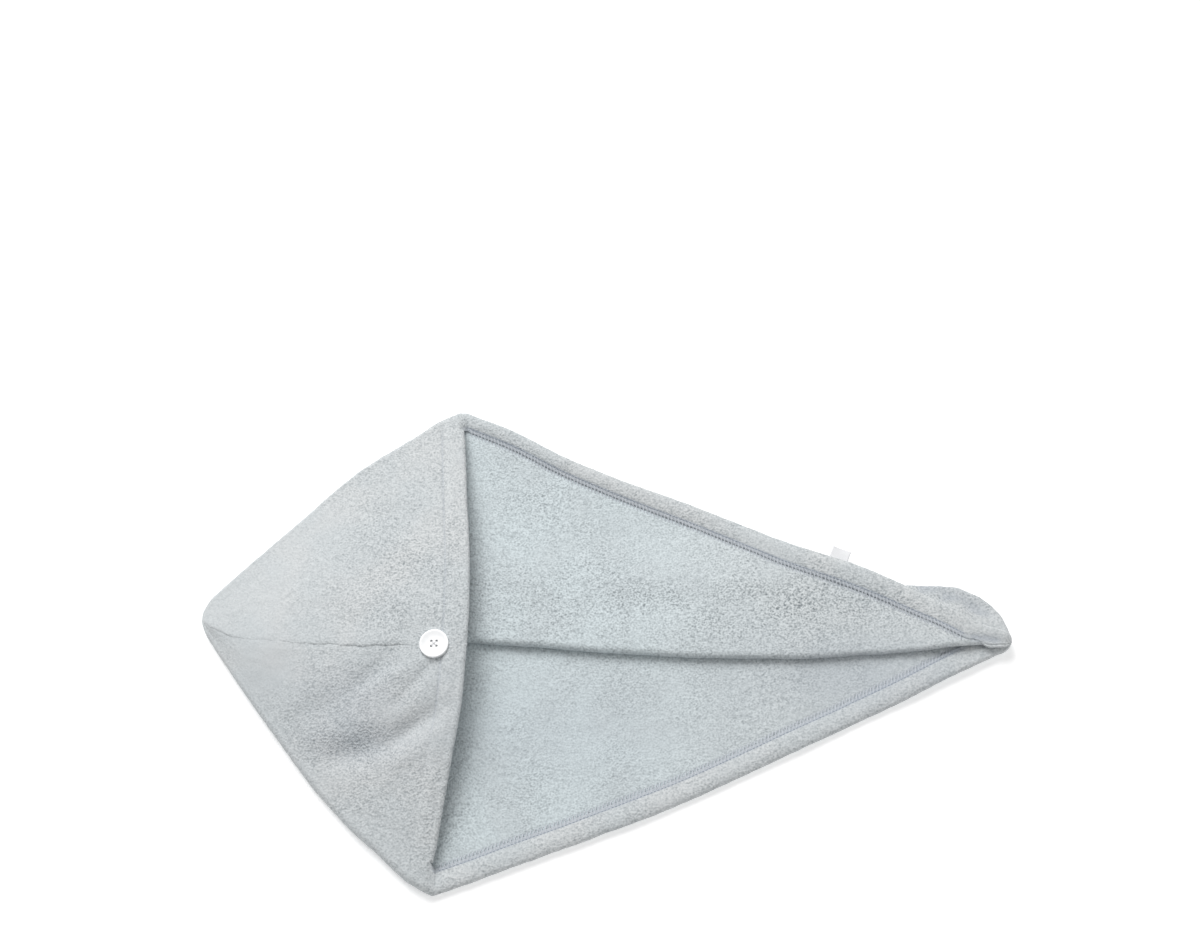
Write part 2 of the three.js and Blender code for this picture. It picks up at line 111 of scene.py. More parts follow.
class TurbanColours(bpy.types.PropertyGroup):
    """Colours of the towel and its trimmings."""
    pile_light: colour("Pile", "Tips of the pile on the outer side", "D6D9DA")
    pile_inside: colour("Inner pile", "Tips of the pile inside the towel", "D7E1E4")
    pile_stroked: colour("Nap", "Where the nap lies the other way", "CCD3D6")
    pile_dark: colour("Pile depth", "Between the tufts of the pile", "838B8F")
    # Held pile is also the colour of the painted shade under the far hem's roll, in the crevice at the
    # tail's tip and in the shade patches
    pile_held_and_shaded: colour("Held pile", "Pile that stitches hold down", "A0A8B3")
    hem_thread: colour("Needle thread", "Needle thread of the hems", "9CA6B5")
    looper_thread: colour("Looper thread", "Looper thread over the raw edges", "D2D7DE")
    button: colour("Button", "Cast polyester button", "FCFDFE")
    button_thread: colour("Button thread", "Thread that holds the button", "F0F1F3")
    elastic: colour("Elastic", "Braided cover of the loop", "C4CBCF")
    label: colour("Label", "Woven satin label", "F4F5F7")
    floor: colour("Floor", "Studio floor", "FBFBFB")


# Tables of the shape, each a share of a size

HOOD_TABLE = {
    "q": (0, .035, .1, .2, .35, .5, .65, .8, .9, 1),
    "spread": (0, .035, .118, .241, .42, .595, .741, .86, .946, 1),
    "crown": (.12, .27, .5, .69, .83, .93, .99, 1.03, 1.04, 1),
}
TAIL_TABLE = {
    "q": (0, .1, .2, .3, .45, .6, .75, .85, .9, .95, .98, 1),
    "near": (1, .914, .829, .743, .602, .439, .275, .16, .1, .045, .014, 0),
    "far": (1, .9, .78, .686, .555, .408, .277, .157, .089, .032, .01, 0),
    "fold": (0, .18, .45, .68, .94, .97, .69, .41, .2, .05, 0, 0),
    "keel": (0, .11, .22, .36, .53, .65, .87, .98, .96, .75, .42, 0),
    "lift": (0, 0, 0, 0, 0, 0, 0, .4, 1, 1, 1, 1),
    "loop": (0, 0, 0, 0, 0, 0, 0, .7, 1, 1, 1, 1),
}

CROWN_AT_HEM = -29 * MM
FOLD_AT_HEM = -19 * MM
KEEL_AT_HEM = 10 * MM
FOLD_SAG = 12 * MM
KEEL_BULGE = 34 * MM
TAIL_TIP_Y = -17 * MM
PUFF_REACH = 45 * MM
DROP_REACH = 60 * MM
RISE_SHAPE = 0.85
ARCH_SHAPE = 1.25

# Layers of cloth that the tips' half widths and turns take up
TIP = {"half": 3.5, "fold": 1.6, "near_turn": 1.35, "far_turn": 0.62, "crown": 3.3, "corner": 1.55}
NOSE = {"near": 3.1, "far": 1.4, "fold": 1.7, "keel": 3.1}
BAND_TO_FOLD = 1.5
BAND_TO_KEEL = 2.5
# From here on along the tail the turned hem reaches past the fold
BAND_MEETS_FOLD = (0.93, 0.962)
BAND_PAST_FOLD = -0.4
LOOP_THICKNESS = 2.4 * MM

# Share of the hood and of the tail that rounds off into a closed tip
HOOD_NOSE = 0.04
TAIL_NOSE = 0.985


def lerp(a, b, t):
    return a + (b - a) * t


def smoothstep(value, low, high):
    t = np.clip((value - low) / (high - low), 0.0, 1.0)
    return t * t * (3 - 2 * t)


def column(table, name, q):
    """A table's column at q, on a smooth curve that doesn't overshoot between its rows."""
    places = table["q"]
    heights = table[name]
    last = len(places) - 1
    k = min(max(int(np.searchsorted(places, q)) - 1, 0), last - 1)
    steps = [(heights[i + 1] - heights[i]) / (places[i + 1] - places[i]) for i in range(last)]

    def slope(i):
        if i == 0:
            return steps[0]
        if i == last:
            return steps[-1]
        before, after = steps[i - 1], steps[i]
        return 0 if before * after <= 0 else 2 * before * after / (before + after)

    width = places[k + 1] - places[k]
    t = min(max((q - places[k]) / width, 0), 1)
    t2, t3 = t * t, t * t * t
    return ((2 * t3 - 3 * t2 + 1) * heights[k] + (t3 - 2 * t2 + t) * width * slope(k)
            + (3 * t2 - 2 * t3) * heights[k + 1] + (t3 - t2) * width * slope(k + 1))


class Section:
    """The sizes of one cut across the towel. y runs across it and z up."""

    def __init__(self, q, sizes, is_hood):
        self.q = q
        self.half = sizes.cloth / 2
        self.pitch = sizes.cloth + sizes.gap
        self.sizes = sizes
        if is_hood:
            self.cut_hood(q, sizes)
        else:
            self.cut_tail(q, sizes)

    def cut_hood(self, q, sizes):
        spread = column(HOOD_TABLE, "spread", q)
        self.x_near = q * sizes.near_reach
        self.x_far = q * sizes.far_reach
        self.y_near = -lerp(TIP["half"] * self.pitch, sizes.near_span, spread)
        self.y_far = lerp(TIP["half"] * self.pitch, sizes.far_span, spread)
        self.y_fold = lerp(-TIP["fold"] * self.pitch, FOLD_AT_HEM, q)
        self.y_keel = lerp(TIP["fold"] * self.pitch, KEEL_AT_HEM, q)
        self.z_base = self.half
        self.fold_turn = lerp(self.pitch / 2, sizes.fold_radius, q)
        self.near_turn = lerp(TIP["near_turn"], TIP["corner"], q) * self.pitch
        self.far_turn = lerp(TIP["far_turn"], TIP["corner"], q) * self.pitch
        self.band_lift = 0
        self.y_crown = CROWN_AT_HEM * column(HOOD_TABLE, "crown", q)
        z_tip = self.half + TIP["crown"] * self.pitch
        self.z_crown = lerp(z_tip, sizes.hood_rise - self.half, q ** RISE_SHAPE)
        self.advance = q * sizes.hood_depth - lerp(self.x_near, self.x_far, self.between(self.y_crown))

    def cut_tail(self, q, sizes):
        start = Section(1, sizes, True)
        loop_room = LOOP_THICKNESS + sizes.gap
        self.x_near = lerp(start.x_near, sizes.towel_length, q)
        self.x_far = lerp(start.x_far, sizes.towel_length, q)
        self.y_near = lerp(TAIL_TIP_Y - NOSE["near"] * self.pitch, start.y_near,
                           column(TAIL_TABLE, "near", q))
        self.y_far = lerp(TAIL_TIP_Y + NOSE["far"] * self.pitch, start.y_far,
                          column(TAIL_TABLE, "far", q))
        self.y_fold = (lerp(start.y_fold, TAIL_TIP_Y - NOSE["fold"] * self.pitch, q)
                       - FOLD_SAG * column(TAIL_TABLE, "fold", q))
        self.y_keel = (lerp(start.y_keel, TAIL_TIP_Y + NOSE["keel"] * self.pitch, q)
                       + KEEL_BULGE * column(TAIL_TABLE, "keel", q))
        self.z_base = self.half + loop_room * column(TAIL_TABLE, "loop", q)
        self.fold_turn = lerp(sizes.fold_radius, self.pitch / 2, q * q)
        self.band_lift = self.pitch * column(TAIL_TABLE, "lift", q)
        self.advance = 0

    def between(self, y):
        return (y - self.y_near) / (self.y_far - self.y_near)

    def strip(self):
        """Height of the far panel's returning strip."""
        return self.z_base + self.pitch + self.band_lift

    def far_height(self, y):
        """Height of the far panel where it lies over its own strip and past the keel."""
        puff = 2 * self.fold_turn - self.pitch
        fold_end = self.y_fold + self.half + self.fold_turn
        falloff = 1 - smoothstep(y, fold_end, fold_end + PUFF_REACH)
        drop = smoothstep(y, self.y_keel + self.pitch, self.y_keel + self.pitch + DROP_REACH)
        return lerp(self.strip() + self.pitch, self.z_base, drop) + puff * falloff * (1 - drop)

    def height(self, y, side):
        return self.far_height(y) if side > 0 else np.full_like(y, self.z_base)

    def outer(self, side):
        return self.y_near if side < 0 else self.y_far

    def turn_centre(self, side):
        return self.outer(side) - side * (self.half + self.pitch / 2)

    def band_end(self, side, width):
        """Where a turned hem's raw edge lies, short of the fold and of the keel."""
        to_fold = lerp(BAND_TO_FOLD, BAND_PAST_FOLD, float(smoothstep(self.q, *BAND_MEETS_FOLD)))
        limit = (self.y_keel - BAND_TO_KEEL * self.pitch if side < 0
                 else self.y_fold + to_fold * self.pitch)
        y_turn = self.turn_centre(side)
        return y_turn - side * min(width - self.half - self.pitch / 2, abs(y_turn - limit))

    def points(self, y, z, along=0.0):
        """Points of the section as rows of x, y and z."""
        x = lerp(self.x_near, self.x_far, self.between(y)) + along * self.advance
        return np.column_stack([x, y, z])


# How many points the paths have in each stretch
MAIN_STEPS = 82
ZONE_STEPS = 12
UNDER_STEPS = 5
TURN_STEPS = 8
TOP_STEPS = 92
SHOULDER_STEPS = 4
BAND_STEPS = 13
KEEL_STEPS = 6
STRIP_STEPS = 6
ZONE = 7 * MM


def arc(y, z, radius, start, sweep, steps):
    """Points round (y, z), from angle start over sweep, in degrees."""
    angles = np.radians(start + sweep * np.linspace(0, 1, steps + 1))
    return y + radius * np.cos(angles), z + radius * np.sin(angles)


def join(parts):
    """One path of (y, z, along) from its stretches."""
    y = np.concatenate([part[0] for part in parts])
    z = np.concatenate([part[1] for part in parts])
    along = np.concatenate([part[2] if len(part) > 2 else np.zeros(len(part[0])) for part in parts])
    return y, z, along


def layer_stretch(section, side, y_start, y_band, y_end):
    """The layer that lies on the surface or on the strip: open, beside the stitches, and under
    the turned hem."""
    zone = min(ZONE, abs(y_band - y_start) / 2)
    y_zone = y_band - side * zone
    y = np.concatenate([
        np.linspace(y_start, y_zone, MAIN_STEPS + 1)[:-1],
        np.linspace(y_zone, y_band, ZONE_STEPS + 1)[:-1],
        np.linspace(y_band, y_end, UNDER_STEPS + 1)])
    return y, section.height(y, side)


# The crown seam from the tip to the mouth: how open its groove is, and how many mm its far side
# stands over its near side
SEAM_TABLE = {
    "q": (0, .03, .1, .15, .28, .36, .5, .57, .66, .76, .81, 1),
    "open": (.1, .14, .12, .01, .01, .1, .08, .22, .36, .34, 0, 0),
    "lift": (.5, .6, .6, .12, .12, .3, .35, .65, .8, .65, .05, 0),
}
SEAM_WANDER = 0.9 * MM
# Size, rate and start of the waves that the seam wanders in
SEAM_WAVES = ((0.5, 27.3, 0.7), (0.3, 74.8, 2.0), (0.25, 171, 0.5))
SEAM_RIDGE = 7 * MM
# The seam fades out this near to the hood's edge
SEAM_FADE = 12 * MM
# How much of the lift the near side goes down by
SEAM_NEAR_DROP = 0.5
# Where the cloth turned in along the seam runs out, under the hood's hem
ALLOWANCE_END = (0.82, 0.88)


def seam_wander(q):
    """How the crown seam wanders from side to side, from -1 to 1."""
    fade = float(smoothstep(q, 0.03, 0.12) * (1 - smoothstep(q, 0.84, 0.93)))
    return fade * sum(size * math.sin(rate * q + start) for size, rate, start in SEAM_WAVES)


def band_share(sizes, side):
    """The share of the hood's top that the tail's hem takes up where the two meet."""
    span = sizes.near_span if side < 0 else sizes.far_span
    band = hem_width(Section(0, sizes, False), side) - sizes.cloth - sizes.gap / 2
    return band / (span + side * abs(CROWN_AT_HEM) - 2 * sizes.cloth)


def crown_stretch(section, side):
    """The hood's top layer from its edge up to the crown seam, and down into the seam."""
    sizes = section.sizes
    turn = section.near_turn if side < 0 else section.far_turn
    y_edge = section.outer(side) - side * (section.half + turn)
    z_edge = float(section.height(np.array([y_edge]), side)[0]) + 2 * turn
    reach = min(1, abs(y_edge - section.y_crown) / SEAM_FADE)
    radius = sizes.shoulder * reach
    opening = column(SEAM_TABLE, "open", section.q)
    far_lift = column(SEAM_TABLE, "lift", section.q) * MM
    wander = SEAM_WANDER * reach * seam_wander(section.q)
    y_end = section.y_crown + wander + side * (
        sizes.gap / 2 + (section.half + radius) * reach * opening)
    share = band_share(sizes, side)
    t = np.concatenate([np.linspace(0, share, BAND_STEPS + 1)[1:],
                        np.linspace(share, 1, TOP_STEPS - BAND_STEPS + 1)[1:]])
    rise = np.sin(np.pi / 2 * t ** ARCH_SHAPE)
    lift = (far_lift if side > 0 else -SEAM_NEAR_DROP * far_lift) * reach
    beside = np.exp(-((1 - t) * abs(y_end - y_edge) / SEAM_RIDGE) ** 2)
    top = (lerp(y_edge, y_end, t), lerp(z_edge, section.z_crown, rise) + lift * beside, rise)
    angles = np.linspace(0, np.pi / 2, SHOULDER_STEPS + 1)[1:]
    shoulder_y = y_end - side * radius * np.sin(angles)
    shoulder_z = section.z_crown + lift - radius * (1 - np.cos(angles))
    runs_out = 1 - float(smoothstep(section.q, *ALLOWANCE_END))
    down = np.array([0.5, 1.0]) * (sizes.allowance * reach * runs_out + sizes.gap)
    return [top, (shoulder_y, shoulder_z, np.ones(SHOULDER_STEPS)),
            (np.full(2, shoulder_y[-1]), shoulder_z[-1] - down, np.ones(2))]


def path_starts(section, side):
    """The stretches before the open layer: none on the near panel, the keel and fold on the far."""
    sizes = section.sizes
    z_strip = section.strip()
    keel_turn = (z_strip - section.z_base) / 2
    y_keel = section.y_keel - section.half - keel_turn
    if side < 0:
        return [], y_keel - sizes.seam - sizes.gap
    y_fold = section.y_fold + section.half + section.fold_turn
    stub = (np.array([y_keel - sizes.seam]), np.array([section.z_base]))
    keel = arc(y_keel, section.z_base + keel_turn, keel_turn, -90, 180, KEEL_STEPS)
    y_strip = np.linspace(y_keel, y_fold, STRIP_STEPS + 2)[1:-1]
    strip = (y_strip, np.full(STRIP_STEPS, z_strip))
    fold = arc(y_fold, z_strip + section.fold_turn, section.fold_turn, -90, -180, TURN_STEPS)
    return [stub, keel, strip, (fold[0][:-1], fold[1][:-1])], y_fold


def hood_row(section, side):
    """A cut through the hood: how many of its points the tail shares, and its points."""
    starts, y_start = path_starts(section, side)
    turn = section.near_turn if side < 0 else section.far_turn
    y_end = section.outer(side) - side * (section.half + turn)
    y_band = y_end - side * section.sizes.hem * section.q
    layer = layer_stretch(section, side, y_start, y_band, y_end)
    z_end = layer[1][-1]
    # The turn opens away from the middle, so the near panel's is mirrored
    round_y, round_z = arc(0, z_end + turn, turn, -90, 180, TURN_STEPS)
    edge = (y_end + side * round_y[1:], round_z[1:])
    shared = sum(len(part[0]) for part in starts) + len(layer[0])
    y, z, along = join([*starts, layer, edge, *crown_stretch(section, side)])
    return shared, section.points(y, z, along)


# From the hood's mouth to its topstitching, and the zone beside that which is cut more often
TOPSTITCH = 18.5 * MM
TOPSTITCH_ZONE = 3.2 * MM
HOOD_NOSE_CENTRE = (-0.5 * MM, 6.3 * MM)
TAIL_NOSE_CENTRE = (TAIL_TIP_Y - 2.4 * MM, 9.6 * MM)
# A closed tip keeps this share of its width
TIP_SHARE = 0.08

HEM_PUFF = 0.5 * MM
HEM_CROWN = 0.9 * MM
# Where the hem's roll gets tighter and its raw edge sinks in, towards the tail's tip
HEM_TIGHTENS = (0.78, 0.92)
HEM_SINKS = (0.9, 0.96)
# Height of the raw edge over its layer, before and after it has sunk, in layers
RAW_EDGE = (0.52, 0.25)
# Widths of the hems, as shares of the stated one
NEAR_HEM = 1.1
FAR_HEM_TABLE = {
    "q": (0, .1, .4, .72, .82, .9, 1),
    "width": (.86, .86, .98, 1.16, 1.1, 1.0, .96),
}


def hem_width(section, side):
    """The visible width of the tail's hem, which is widest before the tail's tip."""
    if side < 0:
        return section.sizes.hem * NEAR_HEM
    return section.sizes.hem * column(FAR_HEM_TABLE, "width", section.q)


def tail_row(section, side):
    """A cut through the tail, with the hem turned in."""
    starts, y_start = path_starts(section, side)
    loose = 1 - float(smoothstep(section.q, *HEM_TIGHTENS))
    y_turn = section.turn_centre(side)
    y_band = section.band_end(side, hem_width(section, side))
    layer = layer_stretch(section, side, y_start, y_band, y_turn)
    radius = section.pitch / 2 + HEM_PUFF * loose
    z_end = layer[1][-1]
    round_y, round_z = arc(0, z_end + radius, radius, -90, 180, TURN_STEPS)
    edge = (y_turn + side * (round_y[1:] - HEM_PUFF * loose), round_z[1:])
    t = np.linspace(0, 1, BAND_STEPS + 1)[1:] ** 0.8
    y = lerp(y_turn, y_band, t)
    end = section.pitch * lerp(*RAW_EDGE, float(smoothstep(section.q, *HEM_SINKS)))
    settle = lerp(2 * radius, end, smoothstep(t, 0.1, 1))
    z = section.height(y, side) + settle + HEM_CROWN * loose * np.sin(np.pi * t) ** 0.8
    y_all, z_all, along = join([*starts, layer, edge, (y, z)])
    return sum(len(part[0]) for part in starts) + len(layer[0]), section.points(y_all, z_all, along)


def closed(points, past, centre):
    """A row drawn in towards a centre, as at a tip that starts at 0 and is closed at 1."""
    share = max(math.sqrt(max(1 - past ** 2, 0)), TIP_SHARE)
    drawn = points.copy()
    drawn[:, 1:] = lerp(np.asarray(centre), points[:, 1:], share)
    return drawn


def hem_setback(sizes):
    """How far the last cut of the hood lies from its mouth, so that the folded hem ends there."""
    return sizes.cloth / 2 + (sizes.cloth + sizes.gap) / 2 + sizes.seam + sizes.gap


def hood_cuts(sizes):
    """Where the hood is cut: close at the tip, at the topstitching and at the hem."""
    last = 1 - hem_setback(sizes) / sizes.hood_depth
    line = 1 - TOPSTITCH / sizes.hood_depth
    half_line = TOPSTITCH_ZONE / sizes.hood_depth
    nose = HOOD_NOSE * (1 - np.cos(np.linspace(0.1, np.pi / 2, 8)))
    body = np.linspace(HOOD_NOSE, line - half_line, 66)[1:]
    stitched = np.linspace(line - half_line, line + half_line, 10)[1:]
    mouth = np.linspace(line + half_line, last, 8)[1:]
    return np.concatenate([nose, body, stitched, mouth])


def tail_cuts():
    """Where the tail is cut: at even steps, and closer at its tip."""
    nose = TAIL_NOSE + (1 - TAIL_NOSE) * np.sin(np.linspace(0, np.pi / 2 - 0.1, 8))[1:]
    return np.concatenate([np.linspace(0.003, TAIL_NOSE, 172), nose])


def hood_row_at(q, sizes, side):
    shared, points = hood_row(Section(q, sizes, True), side)
    if q < HOOD_NOSE:
        points = closed(points, 1 - q / HOOD_NOSE, HOOD_NOSE_CENTRE)
    return shared, points


def tail_row_at(q, sizes, side):
    shared, points = tail_row(Section(q, sizes, False), side)
    if q > TAIL_NOSE:
        points = closed(points, (q - TAIL_NOSE) / (1 - TAIL_NOSE), TAIL_NOSE_CENTRE)
    return shared, points


# Soft relief

# Patches where the pile lies more or less open: middle, half width and half depth in mm, and by
# how much
NAP_PATCHES = (
    (150, 15, 42, 42, 0.2),
    (140, -50, 26, 24, 0.18),
    (132, -100, 44, 17, 0.24),
    (35, 5, 60, 70, -0.3),
    (95, 75, 38, 34, -0.12),
    (470, 12, 95, 26, 0.5),
    (300, 15, 80, 40, 0.22),
    (250, 95, 50, 26, 0.12),
    (330, -85, 130, 40, -0.08),
    (155, -150, 30, 26, 0.22),
    (52, -47, 24, 22, -0.3),
)
# Patches of painted shade on the tail's lower panel and in the hood's near half and its valley, in the
# same terms
SHADE_PATCHES = (
    (267, -87, 100, 42, 0.28),
    (500, -45, 80, 26, 0.5),
    (118, -68, 34, 26, 0.4),
    (125, -102, 40, 16, 0.45),
    (60, -45, 26, 26, 0.12),
)
# From the notch of the far hem to the tail's tip
CAP_LINE = ((0.5406, 0.0285), (0.6080, -0.0045))
# Along the fold, past the end of the far hem's stitches
CREVICE = ((0.5880, -0.0178), (0.6060, -0.0200))
CREVICE_WIDTH = 2.8 * MM
# Shares by which the cap and the crevice lie lower, above the layer that the tip rests on
CAP_DROP = 0.48
CREVICE_DROP = 0.03
TIP_REST = 1.7 * MM
# How dark the painted shade of the far hem's roll makes the cap
ROLL_SHADE = 0.8
# The towel's waves, sideways and upwards
WAVES_ASIDE = 0.9 * MM
WAVES_UP = 2.0 * MM

# Creases of the hood's near half: from and to in mm from the tip, width and depth in mm, where a
# depth below zero stands up
CREASES = (
    (186, -78, 151, -102, 8.5, 5.8),
    (151, -102, 98, -114, 12, 5.6),
    (178, -46, 150, -79, 4.5, 2.0),
    (150, -34, 122, -63, 9, 3.4),
    (122, -63, 84, -82, 12, 2.0),
    (175, -41, 124, -68, 5, -1.2),
    (178, -100, 146, -126, 7, -1.4),
    (92, -58, 70, -74, 12, -1.2),
    (66, -30, 62, -52, 9, 1.3),
    (160, -27, 156, -15, 3.2, 1.9),
    (156, -15, 138, 5, 4.5, 1.1),
    (170, 18, 118, 46, 15, 1.3),
    (182, 62, 140, 84, 13, 1.2),
    (120, 12, 92, 34, 13, -0.9),
)


def crease_depth(x, y):
    """How far the creases press the hood's top in."""
    depth = np.zeros_like(x)
    for x0, y0, x1, y1, width, deep in CREASES:
        along = np.array([x1 - x0, y1 - y0]) * MM
        t = np.clip(((x - x0 * MM) * along[0] + (y - y0 * MM) * along[1]) / (along @ along), 0, 1)
        away = np.hypot(x - x0 * MM - t * along[0], y - y0 * MM - t * along[1])
        taper = 1 - 0.6 * np.abs(2 * t - 1) ** 2
        depth += deep * MM * taper * np.exp(-(away / (width * MM)) ** 2)
    return depth


def rough(points, size, seed):
    """Smooth noise about -1 to 1 at each point, with features of the given size."""
    scaled = points / size + seed
    return np.array([noise.noise(place) for place in scaled.tolist()])


def relieve(points):
    """The towel's slight waves, the same for every layer at a place, so no layer meets another."""
    flat = points * (1, 1, 0)
    moved = points.copy()
    moved[:, 0] += WAVES_ASIDE * rough(flat, 0.055, 11.3)
    moved[:, 1] += WAVES_ASIDE * rough(flat, 0.048, 47.1)
    broad = np.clip(rough(flat, 0.07, 5.7) + 0.1, 0, None)
    small = np.clip(rough(flat, 0.021, 71.9), 0, None)
    between_tips = smoothstep(points[:, 0], 0.0, 0.05) * (1 - smoothstep(points[:, 0], 0.55, 0.61))
    moved[:, 2] += WAVES_UP * (broad + 0.3 * small) * between_tips
    drop = cap_drop(points) + CREVICE_DROP * crevice(points)
    moved[:, 2] -= drop * np.clip(moved[:, 2] - TIP_REST, 0, None)
    return moved


def crevice(points):
    """From 0 to 1, the dent where the far hem meets the fold at the tail's tip, which also takes
    painted shade.
    """
    (x0, y0), (x1, y1) = CREVICE
    t = np.clip((points[:, 0] - x0) / (x1 - x0), 0, 1)
    away = np.hypot(points[:, 0] - lerp(x0, x1, t), points[:, 1] - lerp(y0, y1, t))
    return np.exp(-(away / CREVICE_WIDTH) ** 2)


def cap_drop(points):
    """The share by which the tail's cap lies lower, past a line from the far notch to the tip."""
    (x0, y0), (x1, y1) = CAP_LINE
    along = np.array([x1 - x0, y1 - y0])
    size = np.hypot(*along)
    run = ((points[:, 0] - x0) * along[0] + (points[:, 1] - y0) * along[1]) / size ** 2
    past = ((points[:, 1] - y0) * along[0] - (points[:, 0] - x0) * along[1]) / size
    ends = smoothstep(run, -0.05, 0.15) * (1 - smoothstep(run, 0.8, 1.05))
    valley = smoothstep(past, -0.5 * MM, 2.6 * MM) * (1 - 0.5 * smoothstep(past, 3 * MM, 13 * MM))
    return CAP_DROP * valley * ends


def roll_and_crevice_shade(points):
    """How much painted shade the pile gets, mixed in as held pile: the far hem's roll's shadow on the
    cap, and shade in the crevice.
    """
    cap = np.clip(cap_drop(points) / CAP_DROP, 0, 1) ** 2
    return np.maximum(ROLL_SHADE * cap, crevice(points))


def patched(points, patches, level):
    """A level with soft patches of more or less, for points in the tip's frame."""
    levels = np.full(len(points), level)
    for x, y, wide, deep, more in patches:
        away = ((points[:, 0] / MM - x) / wide) ** 2 + ((points[:, 1] / MM - y) / deep) ** 2
        levels += more * np.exp(-away)
    return np.clip(levels, 0, 1)


# The pile of the lower side differs by this seed, and nothing lies closer to the floor than this
LOWER_SEED = 31.7
FLOOR_GAP = 0.02 * MM


def quads(numbers):
    """The four-sided faces of a grid of points' numbers."""
    return np.stack([numbers[:-1, :-1], numbers[1:, :-1], numbers[1:, 1:], numbers[:-1, 1:]],
                    axis=-1).reshape(-1, 4)


class SheetMesh:
    """A sheet as points with a thickness and a share of pressing, and four-sided faces."""

    def __init__(self):
        self.points = []
        self.press = []
        self.faces = []
        self.count = 0

    def add(self, rows, press=None):
        """Adds rows of points and returns their numbers."""
        rows = np.asarray(rows)
        total = rows.shape[0] * rows.shape[1]
        self.points.append(rows.reshape(-1, 3))
        self.press.append(np.zeros(total) if press is None else np.asarray(press).reshape(-1))
        numbers = np.arange(self.count, self.count + total).reshape(rows.shape[:2])
        self.count += total
        return numbers

    def skin(self, numbers):
        self.faces.append(quads(numbers))

    def arrays(self):
        return np.vstack(self.points), np.concatenate(self.press), np.vstack(self.faces)


def unit(vectors):
    return vectors / np.maximum(np.linalg.norm(vectors, axis=-1, keepdims=True), 1e-12)


def open_edges(faces):
    """The edges that one face has, in that face's direction."""
    edges = np.vstack([faces[:, [k, (k + 1) % 4]] for k in range(4)])
    keys = np.sort(edges, axis=1)
    _, first, counts = np.unique(keys, axis=0, return_index=True, return_counts=True)
    return edges[first[counts == 1]]


def point_normals(points, faces):
    """The normal at each point, from the diagonals of the faces round it."""
    a, b, c, d = (points[faces[:, k]] for k in range(4))
    of_faces = np.cross(c - a, d - b)
    normals = np.zeros_like(points)
    for k in range(4):
        np.add.at(normals, faces[:, k], of_faces)
    return unit(normals)


def lumps_of_pile(points, press, sizes, seed):
    """How far the pile stands up at each point of one side. Pressed pile is flatter."""
    fine = rough(points, 0.0052, seed)
    broad = rough(points, 0.013, seed + 9)
    return (sizes.pile * (fine + 0.7 * broad) * (1 - 0.7 * press))[:, None]


def soft_rim(points, faces, normals, half):
    """The rim between a wall's two sides: whose points it follows, its places and its faces."""
    edges = open_edges(faces)
    a, b = edges[:, 0], edges[:, 1]
    across = np.cross(unit(points[b] - points[a]), normals[a])
    out = np.zeros_like(points)
    np.add.at(out, a, across)
    np.add.at(out, b, across)
    rim = np.unique(edges)
    total = len(points)
    numbers = np.full(total, -1)
    numbers[rim] = 2 * total + np.arange(len(rim))
    rim_faces = np.vstack([
        np.column_stack([b, a, numbers[a], numbers[b]]),
        np.column_stack([numbers[b], numbers[a], a + total, b + total])])
    return rim, points[rim] + unit(out[rim]) * half[rim] * 0.5, rim_faces


def inside_levels(points, normals, rim_count):
    """How far the upper side, the lower side and the rim count as the towel's inside."""
    # The points that lie lowest face the towel's inside with their upper side
    lies = points[:, 2] < np.percentile(points[:, 2], 8)
    upper = float(normals[lies, 2].mean() > 0)
    at_tip = np.maximum(0.75 * smoothstep(points[:, 0], 0.3, 0.5),
                        smoothstep(points[:, 0], 0.584, 0.594))
    return np.concatenate([lerp(upper, 0, at_tip), lerp(1 - upper, 0, at_tip),
                           np.full(rim_count, 0.5)])


def cloth_object(name, sheet, sizes, seed):
    """The sheet as a closed wall with lumps of pile on both sides and soft raw edges."""
    points, press, faces = sheet.arrays()
    normals = point_normals(points, faces)
    points = relieve(points)
    half = sizes.cloth / 2 * (1 - 0.5 * press)[:, None]
    upper = points + normals * (half + lumps_of_pile(points, press, sizes, seed))
    lower = points - normals * (half + lumps_of_pile(points, press, sizes, seed + LOWER_SEED))
    rim, middle, rim_faces = soft_rim(points, faces, normals, half)
    places = np.vstack([upper, lower, middle])
    places[:, 2] = np.maximum(places[:, 2], FLOOR_GAP)
    lie = np.maximum(patched(points, NAP_PATCHES, 0.5), 0.12)
    # The press attribute also carries painted shade: under the far hem's roll, in the crevice and in
    # the shade patches
    press = np.maximum(press, roll_and_crevice_shade(points)) + patched(points, SHADE_PATCHES, 0.0)
    layers = {"press": np.concatenate([press, press, press[rim]]),
              "inside": inside_levels(points, normals, len(rim)),
              "nap": np.concatenate([lie, lie, lie[rim]])}
    shell = np.vstack([faces, faces[:, ::-1] + len(points), rim_faces])
    return cloth_mesh(name, places, shell, layers)


def smooth_object(name, places, faces):
    """An object in the scene, with a smooth mesh of these points and faces."""
    mesh = bpy.data.meshes.new(name)
    mesh.from_pydata(places, [], faces)
    mesh.polygons.foreach_set("use_smooth", np.ones(len(mesh.polygons), dtype=bool))
    obj = bpy.data.objects.new(name, mesh)
    bpy.context.scene.collection.objects.link(obj)
    return obj


def cloth_mesh(name, places, faces, layers):
    """An object of points in the tip's frame, moved into the part's, with values at its points."""
    places = places + np.array(TIP_PLACE)
    corners = places[faces[:, :3]]
    volume = np.einsum("ij,ij->i", corners[:, 0], np.cross(corners[:, 1], corners[:, 2])).sum()
    if volume < 0:
        faces = faces[:, ::-1]
    obj = smooth_object(name, places.tolist(), faces.tolist())
    obj.data.validate()
    for layer_name, values in layers.items():
        layer = obj.data.attributes.new(layer_name, "FLOAT", "POINT")
        layer.data.foreach_set("value", values.astype(np.float32))
    return obj


# The panels

ROW_WIDTH = 1.1 * MM
